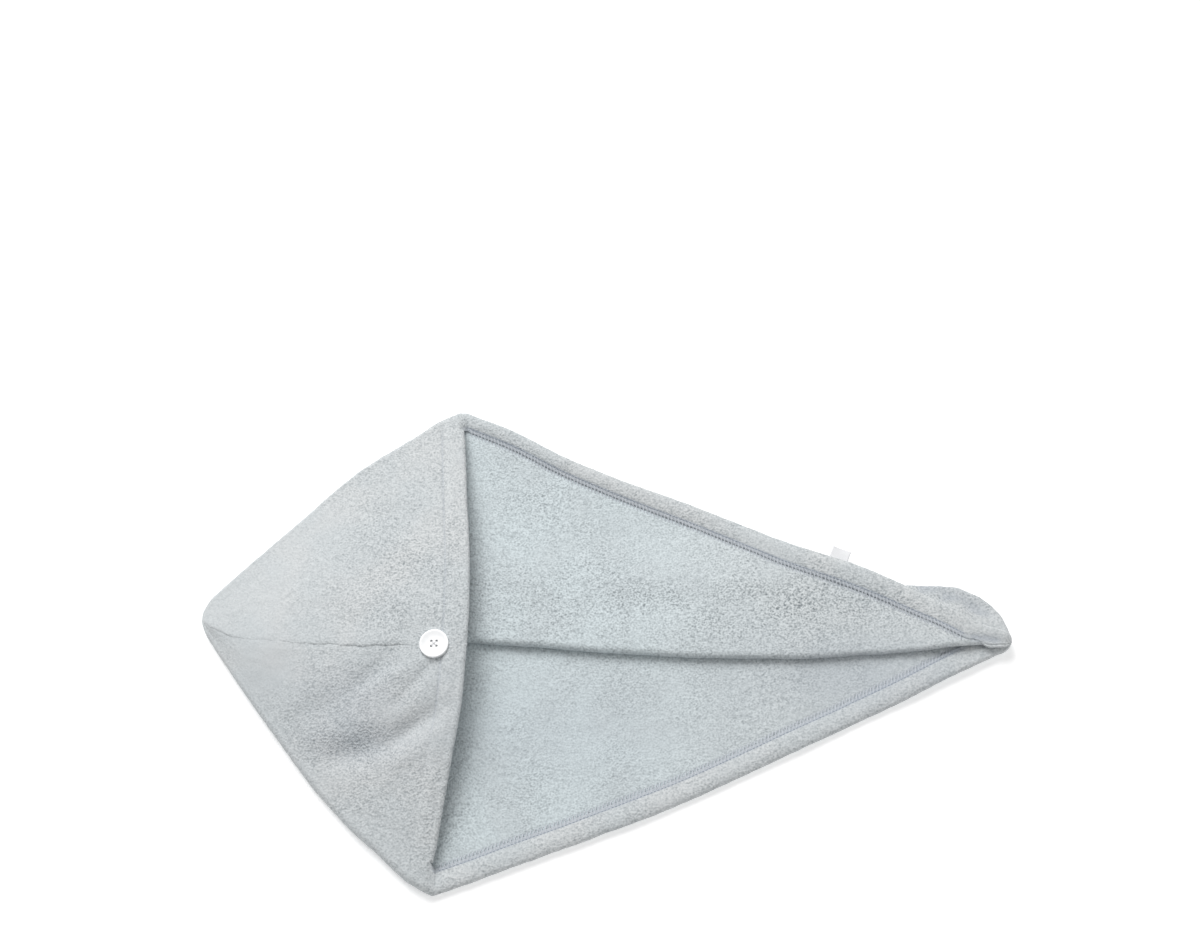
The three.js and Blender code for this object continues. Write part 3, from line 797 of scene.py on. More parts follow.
# From a tail hem's raw edge to the two ends of its overlock stitches
NEEDLE_REACH = 2.6 * MM
RAW_REACH = 3.4 * MM
# Depth of the topstitching's groove, and how far the cloth beyond it stands up
GROOVE_DEPTH = 0.65 * MM
LIP_RISE = 0.9 * MM
# Rows of the hood's turned-in hem, in mm from the mouth
HEM_ROWS = (5.5, 8, 11, 14, 17, 18.5)


def near_line(distance, width=ROW_WIDTH):
    return np.exp(-(distance / width) ** 2)


def tail_press(points, section, side, shared):
    """How far the two rows of stitches press the cloth in, for a row of the tail."""
    y = points[:, 1]
    raw = section.band_end(side, hem_width(section, side))
    into_band = (y - raw) * side
    on_band = np.where(into_band < NEEDLE_REACH, 1, near_line(into_band - NEEDLE_REACH))
    on_layer = 0.4 * near_line(np.maximum(-into_band - 0.6 * RAW_REACH, 0))
    on_layer[into_band > 0] = 0
    press = np.zeros(len(y))
    press[shared + TURN_STEPS:] = on_band[shared + TURN_STEPS:]
    press[:shared] = on_layer[:shared]
    start = shared - UNDER_STEPS - ZONE_STEPS - 8
    press[:start] = 0
    return press * (1 - float(smoothstep(section.q, 0.9, 0.95)))


def pressed_hood_row(q, sizes, side):
    """A row of the hood with its creases and the groove of its topstitching, and its pressing."""
    shared, points = hood_row_at(q, sizes, side)
    numbers = np.arange(len(points))
    on_top = numbers >= shared + TURN_STEPS // 2
    lifted = smoothstep(points[:, 2], 6.5 * MM, 14 * MM) * on_top
    points[:, 2] -= crease_depth(points[:, 0], points[:, 1]) * lifted
    top = smoothstep(numbers, shared + TURN_STEPS, shared + TURN_STEPS + 16)
    to_mouth = (1 - q) * sizes.hood_depth
    stitched = near_line(to_mouth - TOPSTITCH, 1.2 * MM) * top
    if side < 0:
        stitched *= 1 - 0.85 * smoothstep(-points[:, 1], 65 * MM, 105 * MM)
    points[:, 2] -= GROOVE_DEPTH * stitched
    # The cloth stands up a little between the topstitching and the folded edge
    share = np.clip((TOPSTITCH - to_mouth) / (TOPSTITCH - hem_setback(sizes)), 0, 1)
    points[:, 2] += LIP_RISE * math.sin(math.pi * min(share * 1.1, 1)) * top * (share > 0)
    return points, 0.45 * stitched


def pressed_tail_row(q, sizes, side):
    shared, points = tail_row_at(q, sizes, side)
    return points, tail_press(points, Section(q, sizes, False), side, shared)


def panel_sheet(sizes, side):
    """One panel with its tail hem and its part of the hood's hem turned in."""
    sheet = SheetMesh()
    cuts = hood_cuts(sizes)
    hood, hood_press = zip(*(pressed_hood_row(q, sizes, side) for q in cuts))
    tail, tail_presses = zip(*(pressed_tail_row(q, sizes, side) for q in tail_cuts()))
    hood_ids = sheet.add(hood, hood_press)
    tail_ids = sheet.add(tail, tail_presses)
    # The tail joins the hood as far as its hem's raw edge. The hood's mouth starts there
    joined = tail_ids.shape[1]
    first = joined - 1
    sheet.skin(np.vstack([hood_ids[:, :joined], tail_ids]))
    sheet.skin(hood_ids[:, first:])
    hem_ids = sheet.add(mouth_hem(np.array(hood), cuts, first, sizes))
    sheet.skin(np.vstack([hood_ids[-1:, first:], hem_ids]))
    return sheet


def mouth_hem(hood, cuts, first, sizes):
    """The hood's hem: the panel's edge turned in at the mouth, for the columns from first on."""
    edge = hood[-1, first:]
    back = unit(edge - hood[-3, first:])
    across = unit(np.gradient(edge, axis=0))
    inward = unit(np.cross(back, across))
    # The side that faces a point in the middle of the mouth
    middle = np.array([edge[-1, 0], CROWN_AT_HEM, 8 * MM])
    turned = np.einsum("ij,ij->i", inward, middle - edge) < 0
    inward[turned] *= -1
    out = unit(back - np.einsum("ij,ij->i", back, inward)[:, None] * inward)
    pitch = sizes.cloth + sizes.gap
    radius = pitch / 2 + HEM_PUFF
    # The lip fades out at the corner, where the hem meets the tail's
    taper = lerp(0.72, 1, smoothstep(np.arange(len(edge)), 0, 6))[:, None]
    thinner = lerp(0.5, 1, taper)
    rows = []
    for angle in np.linspace(0, np.pi, 8):
        reach = (sizes.seam + radius * math.sin(angle)) * taper
        rows.append(edge + out * reach + inward * radius * (1 - math.cos(angle)) * thinner)
    for q in 1 - np.array(HEM_ROWS) * MM / sizes.hood_depth:
        at = int(np.argmin(np.abs(cuts - q)))
        rows.append(hood[at, first:] + inward * pitch * 1.05 * thinner)
    return rows


def build_panel(name, side, seed, *nodes):
    sizes = bpy.context.scene.turban_sizes
    obj = cloth_object(name, panel_sheet(sizes, side), sizes, seed)
    take_piece(obj, name, "fleece", coral_fleece(), *nodes)


def take_piece(obj, name, slot, material, *nodes):
    """Names a finished piece, gives it its finish and stands it for its nodes."""
    obj.name = name
    obj.data.name = name
    obj.data.materials.append(material)
    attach(obj, "root")
    if nodes:
        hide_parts(*nodes)


def pick(obj):
    """Makes an object the only selected one and the active one."""
    bpy.ops.object.select_all(action="DESELECT")
    obj.select_set(True)
    bpy.context.view_layer.objects.active = obj


# Threads

def rings(path, right, top, radius, sides):
    """Rings of points round a path, in the planes of right and top."""
    angles = np.arange(sides) * 2 * np.pi / sides
    return path[:, None] + radius * (np.cos(angles)[None, :, None] * right[:, None]
                                     + np.sin(angles)[None, :, None] * top[:, None])


def tube(path, ups, radius, sides=6):
    """Points and faces of a closed tube round a path. Its sections keep their top towards ups."""
    ahead = unit(np.gradient(path, axis=0))
    right = unit(np.cross(ahead, ups))
    points = rings(path, right, np.cross(right, ahead), radius, sides).reshape(-1, 3)
    numbers = np.arange(len(points)).reshape(len(path), sides)
    faces = quads(np.hstack([numbers, numbers[:, :1]]))[:, (0, 3, 2, 1)].tolist()
    first, last = len(points), len(points) + 1
    for k in range(sides):
        after = (k + 1) % sides
        faces.append((first, numbers[0, after], numbers[0, k]))
        faces.append((last, numbers[-1, k], numbers[-1, after]))
    return np.vstack([points, path[0], path[-1]]), faces


def tube_object(name, tubes):
    """Several tubes as one object, already in the part's frame."""
    points = []
    faces = []
    start = 0
    for places, corners in tubes:
        points.append(places)
        faces += [tuple(c + start for c in face) for face in corners]
        start += len(places)
    return smooth_object(name, np.vstack(points).tolist(), faces)


def surface_of(obj):
    mesh = obj.data
    return BVHTree.FromPolygons([v.co for v in mesh.vertices], [p.vertices for p in mesh.polygons])


def look_down(tree, x, y):
    """What a ray from high above hits: its place and normal, or None."""
    return tree.ray_cast(Vector((x, y, 0.2)), Vector((0, 0, -1)))[:2]


def drop_on(tree, places):
    """The places dropped from above on to a surface, with the surface's normals."""
    found, normals = [], []
    for x, y in places:
        point, normal = look_down(tree, x, y)
        if point is None:
            raise RuntimeError(f"no cloth under {x:.4f}, {y:.4f}")
        found.append(point)
        normals.append(normal if normal.z > 0 else -normal)
    return np.array(found), smooth(unit(np.array(normals)), 5)


def smooth(values, width):
    """Values averaged over neighbours along a line."""
    padded = np.vstack([values[:1].repeat(width // 2, 0), values, values[-1:].repeat(width // 2, 0)])
    return np.stack([np.convolve(padded[:, k], np.ones(width) / width, "valid")
                     for k in range(values.shape[1])], axis=1)


def spaced(line, step):
    """A line's points at equal steps."""
    lengths = np.concatenate([[0], np.cumsum(np.linalg.norm(np.diff(line, axis=0), axis=1))])
    count = int(lengths[-1] / step)
    at = np.arange(count + 1) * step
    return np.stack([np.interp(at, lengths, line[:, k]) for k in range(line.shape[1])], axis=1)


def running_row(tree, line, sizes, sink):
    """A straight row of stitches: a thread that rises and dips once in each stitch."""
    steps = 4
    flat = spaced(line, sizes.stitch / steps)
    places, normals = drop_on(tree, flat)
    places[:, 2] = smooth(places, 5)[:, 2]
    wave = np.cos(np.arange(len(flat)) * 2 * np.pi / steps)[:, None]
    path = places + normals * (sizes.thread * (0.5 * wave + 0.25) - sink)
    return tube(path, normals, sizes.thread / 2)


def ladder_row(tree, line_a, line_b, sizes, sink):
    """A looper thread that slants over the raw edge in each stitch and returns deep in the pile."""
    a = spaced(line_a, sizes.ladder)
    b = spaced(line_b, sizes.ladder)
    count = min(len(a), len(b))
    corners = np.empty((2 * count - 2, 2))
    corners[0::2] = a[:count - 1]
    corners[1::2] = lerp(b[:count - 1], b[1:count], 0.45)
    ways = np.arange((len(corners) - 1) * 4 + 1) / 4
    index = np.minimum(ways.astype(int), len(corners) - 2)
    flat = lerp(corners[index], corners[index + 1], (ways - index)[:, None])
    places, normals = drop_on(tree, flat)
    places[:, 2] = smooth(places, 3)[:, 2]
    hump = np.sin(np.pi * ways)[:, None]
    lift = np.where(hump > 0, 0.35 * hump, 1.1 * hump) * sizes.looper
    return tube(places + normals * (lift - sink), normals, sizes.looper / 2)


def moved_line(points):
    """x and y of points of the tip's frame, waved as the cloth is, in the part's frame."""
    return (relieve(np.asarray(points)) + np.array(TIP_PLACE))[:, :2]


def hem_line(sizes, side, offset, q_from, q_to):
    """A line along a tail hem's raw edge, set off from it. It ends where the band is held back."""
    points = []
    for q in np.linspace(q_from, q_to, 220):
        section = Section(q, sizes, False)
        width = hem_width(section, side)
        raw_edge = section.band_end(side, width)
        if abs(raw_edge - section.band_end(side, width + MM)) < 0.5 * MM:
            break
        y = raw_edge + side * offset
        points.append(section.points(np.array([y]), np.array([section.pitch]))[0])
    return moved_line(points)


def topstitch_line(sizes, side):
    """The line of stitches round the hood's mouth, from a corner up to the crown."""
    q = 1 - TOPSTITCH / sizes.hood_depth
    shared, points = hood_row_at(q, sizes, side)
    line = points[shared + TURN_STEPS + 4:shared + TURN_STEPS + TOP_STEPS]
    return moved_line(line[line[:, 1] > -105 * MM])


# Materials

def add_node(tree, kind, links=None, values=None, **settings):
    """Adds a node with its settings, its sockets' values and its links."""
    node = tree.nodes.new(kind)
    for name, value in settings.items():
        setattr(node, name, value)
    for name, value in (values or {}).items():
        node.inputs[name].default_value = value
    for name, source in (links or {}).items():
        tree.links.new(source, node.inputs[name])
    return node


def new_material(name, values):
    """A material with a Principled shader set to these values, and its node tree."""
    material = bpy.data.materials.new(name)
    material.use_nodes = True
    tree = material.node_tree
    shader = tree.nodes["Principled BSDF"]
    for socket, value in values.items():
        shader.inputs[socket].default_value = value
    return material, tree, shader


def ramp(tree, source, stops):
    """A colour ramp over a value. Each stop is a place and a grey level or a colour."""
    node = add_node(tree, "ShaderNodeValToRGB", {"Fac": source})
    elements = node.color_ramp.elements
    for k, (place, level) in enumerate(stops):
        element = elements[k] if k < 2 else elements.new(place)
        element.position = place
        element.color = (level, level, level, 1) if isinstance(level, float) else (*level, 1)
    return node.outputs["Color"]


# Sockets of a colour Mix node
MIX_FACTOR, MIX_A, MIX_B, MIX_RESULT = 0, 6, 7, 2


def mix_colours(tree, factor, a, b):
    """One colour mixed into another. Each is a colour or a socket."""
    links = {MIX_FACTOR: factor}
    values = {}
    for socket, source in ((MIX_A, a), (MIX_B, b)):
        if isinstance(source, bpy.types.NodeSocket):
            links[socket] = source
        else:
            values[socket] = (*source, 1)
    return add_node(tree, "ShaderNodeMix", links, values, data_type="RGBA").outputs[MIX_RESULT]


def grain_of(tree, place, size, detail, roughness=0.5, distortion=0.0):
    """Noise whose features are about as wide as size, in metres."""
    return add_node(tree, "ShaderNodeTexNoise", {"Vector": place},
                    {"Scale": 1 / size, "Detail": detail, "Roughness": roughness,
                     "Distortion": distortion}).outputs["Fac"]


def calculated(tree, operation, *terms):
    """A Math node's result. Each term is a socket, a number or None."""
    links, values = {}, {}
    for k, term in enumerate(terms):
        if isinstance(term, bpy.types.NodeSocket):
            links[k] = term
        elif term is not None:
            values[k] = term
    return add_node(tree, "ShaderNodeMath", links, values, operation=operation).outputs[0]


def attribute(tree, name):
    return add_node(tree, "ShaderNodeAttribute", attribute_name=name).outputs["Fac"]


def add_bump(tree, shader, height, strength, distance):
    bump = add_node(tree, "ShaderNodeBump", {"Height": height},
                    {"Strength": strength, "Distance": distance})
    tree.links.new(bump.outputs["Normal"], shader.inputs["Normal"])


def coral_fleece():
    """Coral fleece: knitted polyester whose brushed and sheared pile curls into tufts of about
    3 mm. It is matt, with light tips and small dark gaps where the tufts part. The gaps show more
    in some places, where the nap lies open. The side inside the towel is a little bluer."""
    found = bpy.data.materials.get("coral_fleece_brushed")
    if found:
        return found
    colours = bpy.context.scene.turban_colours
    material, tree, shader = new_material("coral_fleece_brushed", {
        "Roughness": 0.95, "IOR": 1.5, "Specular IOR Level": 0.1, "Sheen Weight": 0.25,
        "Sheen Roughness": 0.6})
    place = add_node(tree, "ShaderNodeTexCoord").outputs["Object"]
    spots = grain_of(tree, place, 2.2 * MM, 1.0, 0.5, 0.3)
    curls = grain_of(tree, place, 5 * MM, 1.5, 0.5, 0.8)
    fibres = grain_of(tree, place, 0.9 * MM, 2)
    flecks = grain_of(tree, place, 1.5 * MM, 0.0)
    stroked = ramp(tree, grain_of(tree, place, 60 * MM, 2, 0.5, 0.4), [(0.4, 0.0), (0.6, 1.0)])
    opened = ramp(tree, grain_of(tree, place, 45 * MM, 3, 0.55, 0.5), [(0.38, 0.62), (0.6, 1.0)])
    opened = calculated(tree, "MULTIPLY", opened, attribute(tree, "nap"))
    gaps = ramp(tree, spots, [(0.34, 1.0), (0.5, 0.0)])
    # The side of a curl is where its noise is near the middle
    away = calculated(tree, "ABSOLUTE", calculated(tree, "SUBTRACT", curls, 0.5), None)
    side = calculated(tree, "SUBTRACT", 1.0, calculated(tree, "MULTIPLY", away, 12))
    side = calculated(tree, "MAXIMUM", side, 0.0)
    depth = calculated(tree, "MULTIPLY_ADD", gaps, 0.62, calculated(tree, "MULTIPLY", side, 0.28))
    # Single tufts are lighter or darker than the rest
    tufts = calculated(tree, "MULTIPLY", calculated(tree, "SUBTRACT", 0.5, flecks), 2.7)
    depth = calculated(tree, "MULTIPLY", calculated(tree, "ADD", depth, tufts), opened)
    depth = calculated(tree, "ADD", depth, 0.22)
    tips = mix_colours(tree, attribute(tree, "inside"), colours.pile_light, colours.pile_inside)
    tips = mix_colours(tree, calculated(tree, "MULTIPLY", stroked, 0.5), tips, colours.pile_stroked)
    base = mix_colours(tree, calculated(tree, "MULTIPLY", depth, 0.7), tips, colours.pile_dark)
    # Pile that stitches hold down shows its depth, and the same mix paints shade under the far hem's
    # roll, in the crevice and in the shade patches
    held = calculated(tree, "MULTIPLY", attribute(tree, "press"), 0.5)
    base = mix_colours(tree, held, base, colours.pile_held_and_shaded)
    tree.links.new(base, shader.inputs["Base Color"])
    relief = calculated(tree, "MULTIPLY_ADD", depth, -0.9, calculated(tree, "MULTIPLY", fibres, 0.3))
    add_bump(tree, shader, relief, 0.5, 1.1 * MM)
    return material


def plain_finish(name, colour_value, values, size, bump_height, shade=0.9):
    """A finish with a grain of the given size in its colour and its relief."""
    material, tree, shader = new_material(name, values)
    place = add_node(tree, "ShaderNodeTexCoord").outputs["Object"]
    grain = grain_of(tree, place, size, 3)
    darker = tuple(c * shade for c in colour_value)
    level = ramp(tree, grain, [(0.35, darker), (0.65, tuple(colour_value))])
    tree.links.new(level, shader.inputs["Base Color"])
    add_bump(tree, shader, grain, 0.5, bump_height)
    return material


def spun_thread(name, colour_value):
    """Spun polyester thread: matt, with a fine twist that shows as short light and dark marks."""
    values = {"Roughness": 0.7, "Sheen Weight": 0.2}
    return (bpy.data.materials.get(name)
            or plain_finish(name, colour_value, values, 0.4 * MM, 0.15 * MM, 0.75))


def cast_polyester():
    """Cast polyester: turned from a rod and tumbled, so white all through with a soft polish."""
    colour_value = bpy.context.scene.turban_colours.button
    values = {"Roughness": 0.22, "IOR": 1.54, "Coat Weight": 0.3, "Coat Roughness": 0.12}
    return plain_finish("cast_polyester_tumbled", colour_value, values, 3 * MM, 0.01 * MM, 0.97)


def ribbed_cloth(name, colour_value, rib, values, axis, depth):
    """A woven finish: slightly uneven ribs along one axis of the piece's own UV map."""
    material, tree, shader = new_material(name, values)
    place = add_node(tree, "ShaderNodeTexCoord").outputs["UV"]
    ribs = add_node(tree, "ShaderNodeTexWave", {"Vector": place},
                    {"Scale": 1 / rib / 3.2, "Distortion": 0.4, "Detail": 1},
                    bands_direction=axis).outputs["Fac"]
    darker = tuple(c * 0.82 for c in colour_value)
    level = ramp(tree, ribs, [(0.2, darker), (0.7, tuple(colour_value))])
    tree.links.new(level, shader.inputs["Base Color"])
    add_bump(tree, shader, ribs, 0.7, depth)
    return material


# The button, the loop and the label

BUTTON_RADIUS = 11 * MM
BUTTON_DEPTH = 3.2 * MM
HOLE_REACH = 1.95 * MM
HOLE_RADIUS = 0.95 * MM
# How deep the button sits in the pile
BUTTON_SINK = 0.3 * MM
# Insets of the button's face: its rim, the slope inside that, and its flat middle
BUTTON_INSETS = ((1.5 * MM, 0), (1.1 * MM, -0.35 * MM), (3.2 * MM, -0.2 * MM))
LABEL_SETBACK = 127 * MM
LABEL_WIDTH = 15 * MM
LABEL_REACH = 12.5 * MM
# How deep the label's end sits in the hem
LABEL_SINK = 3 * MM


def button_seat():
    """Where the button lies: over its place in the part, level with the cloth round it."""
    low, high = (np.array(corner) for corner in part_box("button"))
    centre = (low + high) / 2
    trees = [surface_of(bpy.data.objects[name]) for name in ("near_panel", "far_panel")]
    touched = []
    for angle in np.linspace(0, 2 * np.pi, 24, endpoint=False):
        x = centre[0] + 0.75 * BUTTON_RADIUS * math.cos(angle)
        y = centre[1] + 0.75 * BUTTON_RADIUS * math.sin(angle)
        hits = [look_down(tree, x, y)[0] for tree in trees]
        touched.append(max((hit for hit in hits if hit), key=lambda hit: hit.z))
    touched = np.array(touched)
    middle = touched.mean(axis=0)
    normal = Vector(np.linalg.svd(touched - middle)[2][2])
    if normal.z < 0:
        normal.negate()
    place = Vector((centre[0], centre[1], middle[2] - BUTTON_SINK))
    turn = Vector((0, 0, 1)).rotation_difference(normal)
    return Matrix.Translation(place) @ turn.to_matrix().to_4x4()


def hole_places():
    return [(x, y) for x in (-HOLE_REACH, HOLE_REACH) for y in (-HOLE_REACH, HOLE_REACH)]


def select_top(obj):
    """Selects the faces of an object that look up, in edit mode."""
    bpy.ops.object.mode_set(mode="OBJECT")
    for polygon in obj.data.polygons:
        polygon.select = polygon.normal.z > 0.9
    for vertex in obj.data.vertices:
        vertex.select = False
    for edge in obj.data.edges:
        edge.select = False
    bpy.ops.object.mode_set(mode="EDIT")


def add_cylinder(radius, depth, place, sides):
    bpy.ops.object.select_all(action="DESELECT")
    bpy.ops.mesh.primitive_cylinder_add(vertices=sides, radius=radius, depth=depth, location=place)
    return bpy.context.object


class TURBAN_OT_button(bpy.types.Operator):
    """Adds the four-hole button with its raised rim, and the thread that holds it"""
    bl_idname = "turban.button"
    bl_label = "Button"

    def execute(self, context):
        seat = button_seat()
        disc = add_cylinder(BUTTON_RADIUS, BUTTON_DEPTH, (0, 0, BUTTON_DEPTH / 2), 72)
        bpy.ops.object.transform_apply(location=True)
        select_top(disc)
        bpy.ops.mesh.select_mode(type="FACE")
        for wide, deep in BUTTON_INSETS:
            bpy.ops.mesh.inset(thickness=wide, depth=deep)
        bpy.ops.object.mode_set(mode="OBJECT")
        self.bevel_rims(disc)
        for x, y in hole_places():
            pin = add_cylinder(HOLE_RADIUS, 4 * BUTTON_DEPTH, (x, y, 0), 20)
            bpy.ops.object.transform_apply(location=True)
            self.cut(disc, pin)
        pick(disc)
        bpy.ops.object.shade_smooth_by_angle(angle=math.radians(32))
        disc.data.transform(seat)
        take_piece(disc, "button_cast", "polyester_button", cast_polyester(), "button")
        self.add_thread(seat)
        return {"FINISHED"}

    def bevel_rims(self, disc):
        bevel = disc.modifiers.new("rims", "BEVEL")
        bevel.width = 0.45 * MM
        bevel.segments = 4
        bevel.limit_method = "ANGLE"
        bevel.angle_limit = math.radians(40)
        pick(disc)
        bpy.ops.object.modifier_apply(modifier=bevel.name)

    def cut(self, disc, pin):
        hole = disc.modifiers.new("hole", "BOOLEAN")
        hole.operation = "DIFFERENCE"
        hole.solver = "EXACT"
        hole.object = pin
        bpy.context.view_layer.objects.active = disc
        bpy.ops.object.modifier_apply(modifier=hole.name)
        bpy.data.objects.remove(pin)

    def add_thread(self, seat):
        """Three strands across each pair of opposite holes, down through the cloth."""
        colour_value = bpy.context.scene.turban_colours.button_thread
        tubes = []
        top = BUTTON_DEPTH - 0.75 * MM
        reach = HOLE_REACH * math.sqrt(2)
        for turn, raised in ((1, 0.0), (-1, 0.3 * MM)):
            along = np.array([1, turn]) / math.sqrt(2)
            rising = ((-1, -1.2 * MM), (-0.98, top * 0.6), (-0.8, top + 0.05 * MM),
                      (-0.4, top + 0.25 * MM))
            falling = tuple((-share, z) for share, z in reversed(rising))
            stations = (*rising, (0, top + 0.25 * MM + raised), *falling)
            for strand in (-0.3, 0.0, 0.3):
                aside = np.array([-along[1], along[0]]) * strand * MM
                path = np.array([(*(along * reach * share + aside), z) for share, z in stations])
                path = smooth(spaced(path, 0.2 * MM), 3)
                ups = np.tile(np.array([[-along[1], along[0], 0.0]]), (len(path), 1))
                tubes.append(tube(path, ups, 0.16 * MM, 7))
        thread = tube_object("button_thread_crossed", tubes)
        thread.data.transform(seat)
        take_piece(thread, "button_thread_crossed", "sewing_thread",
                   spun_thread("polyester_button_thread", colour_value), "button_thread")


class TURBAN_OT_loop(bpy.types.Operator):
    """Adds the braided elastic loop under the tail's tip"""
    bl_idname = "turban.loop"
    bl_label = "Elastic loop"

    def execute(self, context):
        ring, radius = self.centre_line()
        sides = 20
        ahead = unit(np.roll(ring, -1, axis=0) - np.roll(ring, 1, axis=0))
        up = np.tile((0.0, 0.0, 1.0), (len(ring), 1))
        # Two sets of five ridges that wind round the cord against each other
        angles = np.arange(sides) * 2 * np.pi / sides
        phase = 2 * np.pi * round(len(ring) / 12) * np.arange(len(ring))[:, None] / len(ring)
        weave = np.maximum(np.cos(5 * angles + phase), np.cos(5 * angles - phase))
        reach = (radius * (0.95 + 0.05 * weave))[:, :, None]
        points = rings(ring, np.cross(ahead, up), up, reach, sides).reshape(-1, 3)
        numbers = np.arange(len(points)).reshape(len(ring), sides)
        faces = quads(np.pad(numbers, ((0, 1), (0, 1)), "wrap"))[:, (1, 2, 3, 0)]
        loop = tube_object("elastic_loop", [(points, faces.tolist())])
        finish = plain_finish("covered_elastic_braid", context.scene.turban_colours.elastic,
                              {"Roughness": 0.8, "Sheen Weight": 0.2}, 0.5 * MM, 0.1 * MM, 0.8)
        take_piece(loop, "elastic_loop", "covered_elastic", finish, "button_loop")
        return {"FINISHED"}

    def centre_line(self):
        """The middle of the loop's cord, a ring with two straight sides, and the cord's radius."""
        low, high = (Vector(corner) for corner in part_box("button_loop"))
        radius = (high.z - low.z) / 2
        bend = (high.y - low.y) / 2 - radius
        straight = (high.x - low.x) / 2 - radius - bend
        middle = (low + high) / 2
        corners = []
        for sign in (1, -1):
            for angle in np.linspace(-90, 90, 25):
                a = math.radians(angle)
                corners.append((middle.x + sign * (straight + bend * math.cos(a)),
                                middle.y + sign * bend * math.sin(a), middle.z))
        return spaced(np.array([*corners, corners[0]]), 0.3 * MM), radius


class TURBAN_OT_label(bpy.types.Operator):
    """Adds the small bare ribbon that is sewn into the far hem"""
    bl_idname = "turban.label"
    bl_label = "Side label"

    def execute(self, context):
        u, v = np.meshgrid(np.linspace(-0.5, 0.5, 16), np.linspace(0, 1, 14), indexing="ij")
        places = relieve(self.droop(context.scene.turban_sizes, u, v).reshape(-1, 3))
        numbers = np.arange(u.size).reshape(u.shape)
        label = cloth_mesh("ribbon_label", places, quads(numbers), {})
        uv = label.data.uv_layers.new(name="weave")
        flat = np.stack([u * LABEL_WIDTH, v * LABEL_REACH], axis=-1).reshape(-1, 2)
        for corner in label.data.loops:
            uv.data[corner.index].uv = flat[corner.vertex_index]
        wall = label.modifiers.new("wall", "SOLIDIFY")
        wall.thickness = 0.45 * MM
        wall.offset = 0
        pick(label)
        bpy.ops.object.modifier_apply(modifier=wall.name)
        finish = ribbed_cloth("woven_satin_ribbon", context.scene.turban_colours.label, 0.5 * MM,
                              {"Roughness": 0.45, "Sheen Weight": 0.3}, "Y", 0.08 * MM)
        take_piece(label, "ribbon_label", "satin_ribbon", finish, "side_label")
        return {"FINISHED"}

    def droop(self, sizes, u, v):
        """Points of the ribbon, which droops a little and curls at its free corners."""
        q = 1 - LABEL_SETBACK / (sizes.towel_length - sizes.far_reach)
        here, after = Section(q, sizes, False), Section(q + 0.02, sizes, False)
        slope = math.atan2(after.y_far - here.y_far, after.x_far - here.x_far)
        height = float(here.far_height(np.array([here.turn_centre(1)]))[0]) + here.pitch / 2
        x = u * LABEL_WIDTH
        y = v * LABEL_REACH - LABEL_SINK
        curl = (2 * u) ** 2 * v ** 2
        z = height + 0.5 * MM * np.sin(np.pi * v) - 1.2 * MM * v ** 2 + 1.1 * MM * curl
        return np.stack([here.x_far + x * math.cos(slope) - y * math.sin(slope),
                         here.y_far + x * math.sin(slope) + y * math.cos(slope), z], axis=-1)


# The stage, the panels and the stitching

CAMERA_PLACE = (-0.0047, -0.5024, 1.4021)
CAMERA_AIM = (-0.0047, 0.1514, 0)
CAMERA_LENS = 58
WORLD_STRENGTH = 0.36
# Where on the tail the hems' stitches start
STITCHES_FROM = 0.012
# Name, place, size in metres and power in watts
LIGHTS = (
    ("key", (-0.9, 1.7, 2.1), 1.9, 70),
    ("fill", (1.3, -0.7, 1.9), 1.6, 9),
)


class TURBAN_OT_stage(bpy.types.Operator):
    """Adds the camera, the floor and the soft studio light"""
    bl_idname = "turban.stage"
    bl_label = "Stage"

    def execute(self, context):
        scene = context.scene
        self.add_camera(scene)
        self.add_floor(scene)
        world = bpy.data.worlds.new("studio")
        scene.world = world
        world.use_nodes = True
        background = world.node_tree.nodes["Background"]
        background.inputs["Color"].default_value = (1, 1, 1, 1)
        background.inputs["Strength"].default_value = WORLD_STRENGTH
        for light in LIGHTS:
            self.add_light(scene, *light)
        scene.view_settings.view_transform = "Standard"
        return {"FINISHED"}

    def add_camera(self, scene):
        data = bpy.data.cameras.new("camera")
        data.lens = CAMERA_LENS
        data.sensor_width = 36
        data.clip_start = 0.05
        data.clip_end = 20
        camera = bpy.data.objects.new("camera", data)
        camera.location = Vector(CAMERA_PLACE)
        ahead = Vector(CAMERA_AIM) - camera.location
        camera.rotation_euler = ahead.to_track_quat("-Z", "Y").to_euler()
        scene.collection.objects.link(camera)
        scene.camera = camera

    def add_floor(self, scene):
        """A frosted acrylic table that is lit from below, so that it shows hardly any shadow."""
        bpy.ops.object.select_all(action="DESELECT")
        bpy.ops.mesh.primitive_plane_add(size=6, location=(0, 0, 0))
        floor = bpy.context.object
        floor.name = "floor"
        values = {"Roughness": 0.9, "Specular IOR Level": 0.1, "Emission Color": (1, 1, 1, 1),
                  "Emission Strength": 0.3}
        floor.data.materials.append(plain_finish(
            "frosted_acrylic_table", scene.turban_colours.floor, values, 3 * MM, 0.02 * MM, 0.995))

    def add_light(self, scene, name, place, size, power):
        data = bpy.data.lights.new(name, "AREA")
        data.size = size
        data.energy = power
        light = bpy.data.objects.new(name, data)
        light.location = place
        light.rotation_euler = (-Vector(place)).to_track_quat("-Z", "Y").to_euler()
        scene.collection.objects.link(light)


class TURBAN_OT_panels(bpy.types.Operator):
    """Adds the two fleece panels, each one sheet with its hems turned in"""
    bl_idname = "turban.panels"
    bl_label = "Panels"

    def execute(self, context):
        build_panel("near_panel", -1, 3.1, "panel_near", "tail_hem_near", "hood_hem")
        build_panel("far_panel", 1, 83.4, "panel_far", "tail_hem_far")
        return {"FINISHED"}


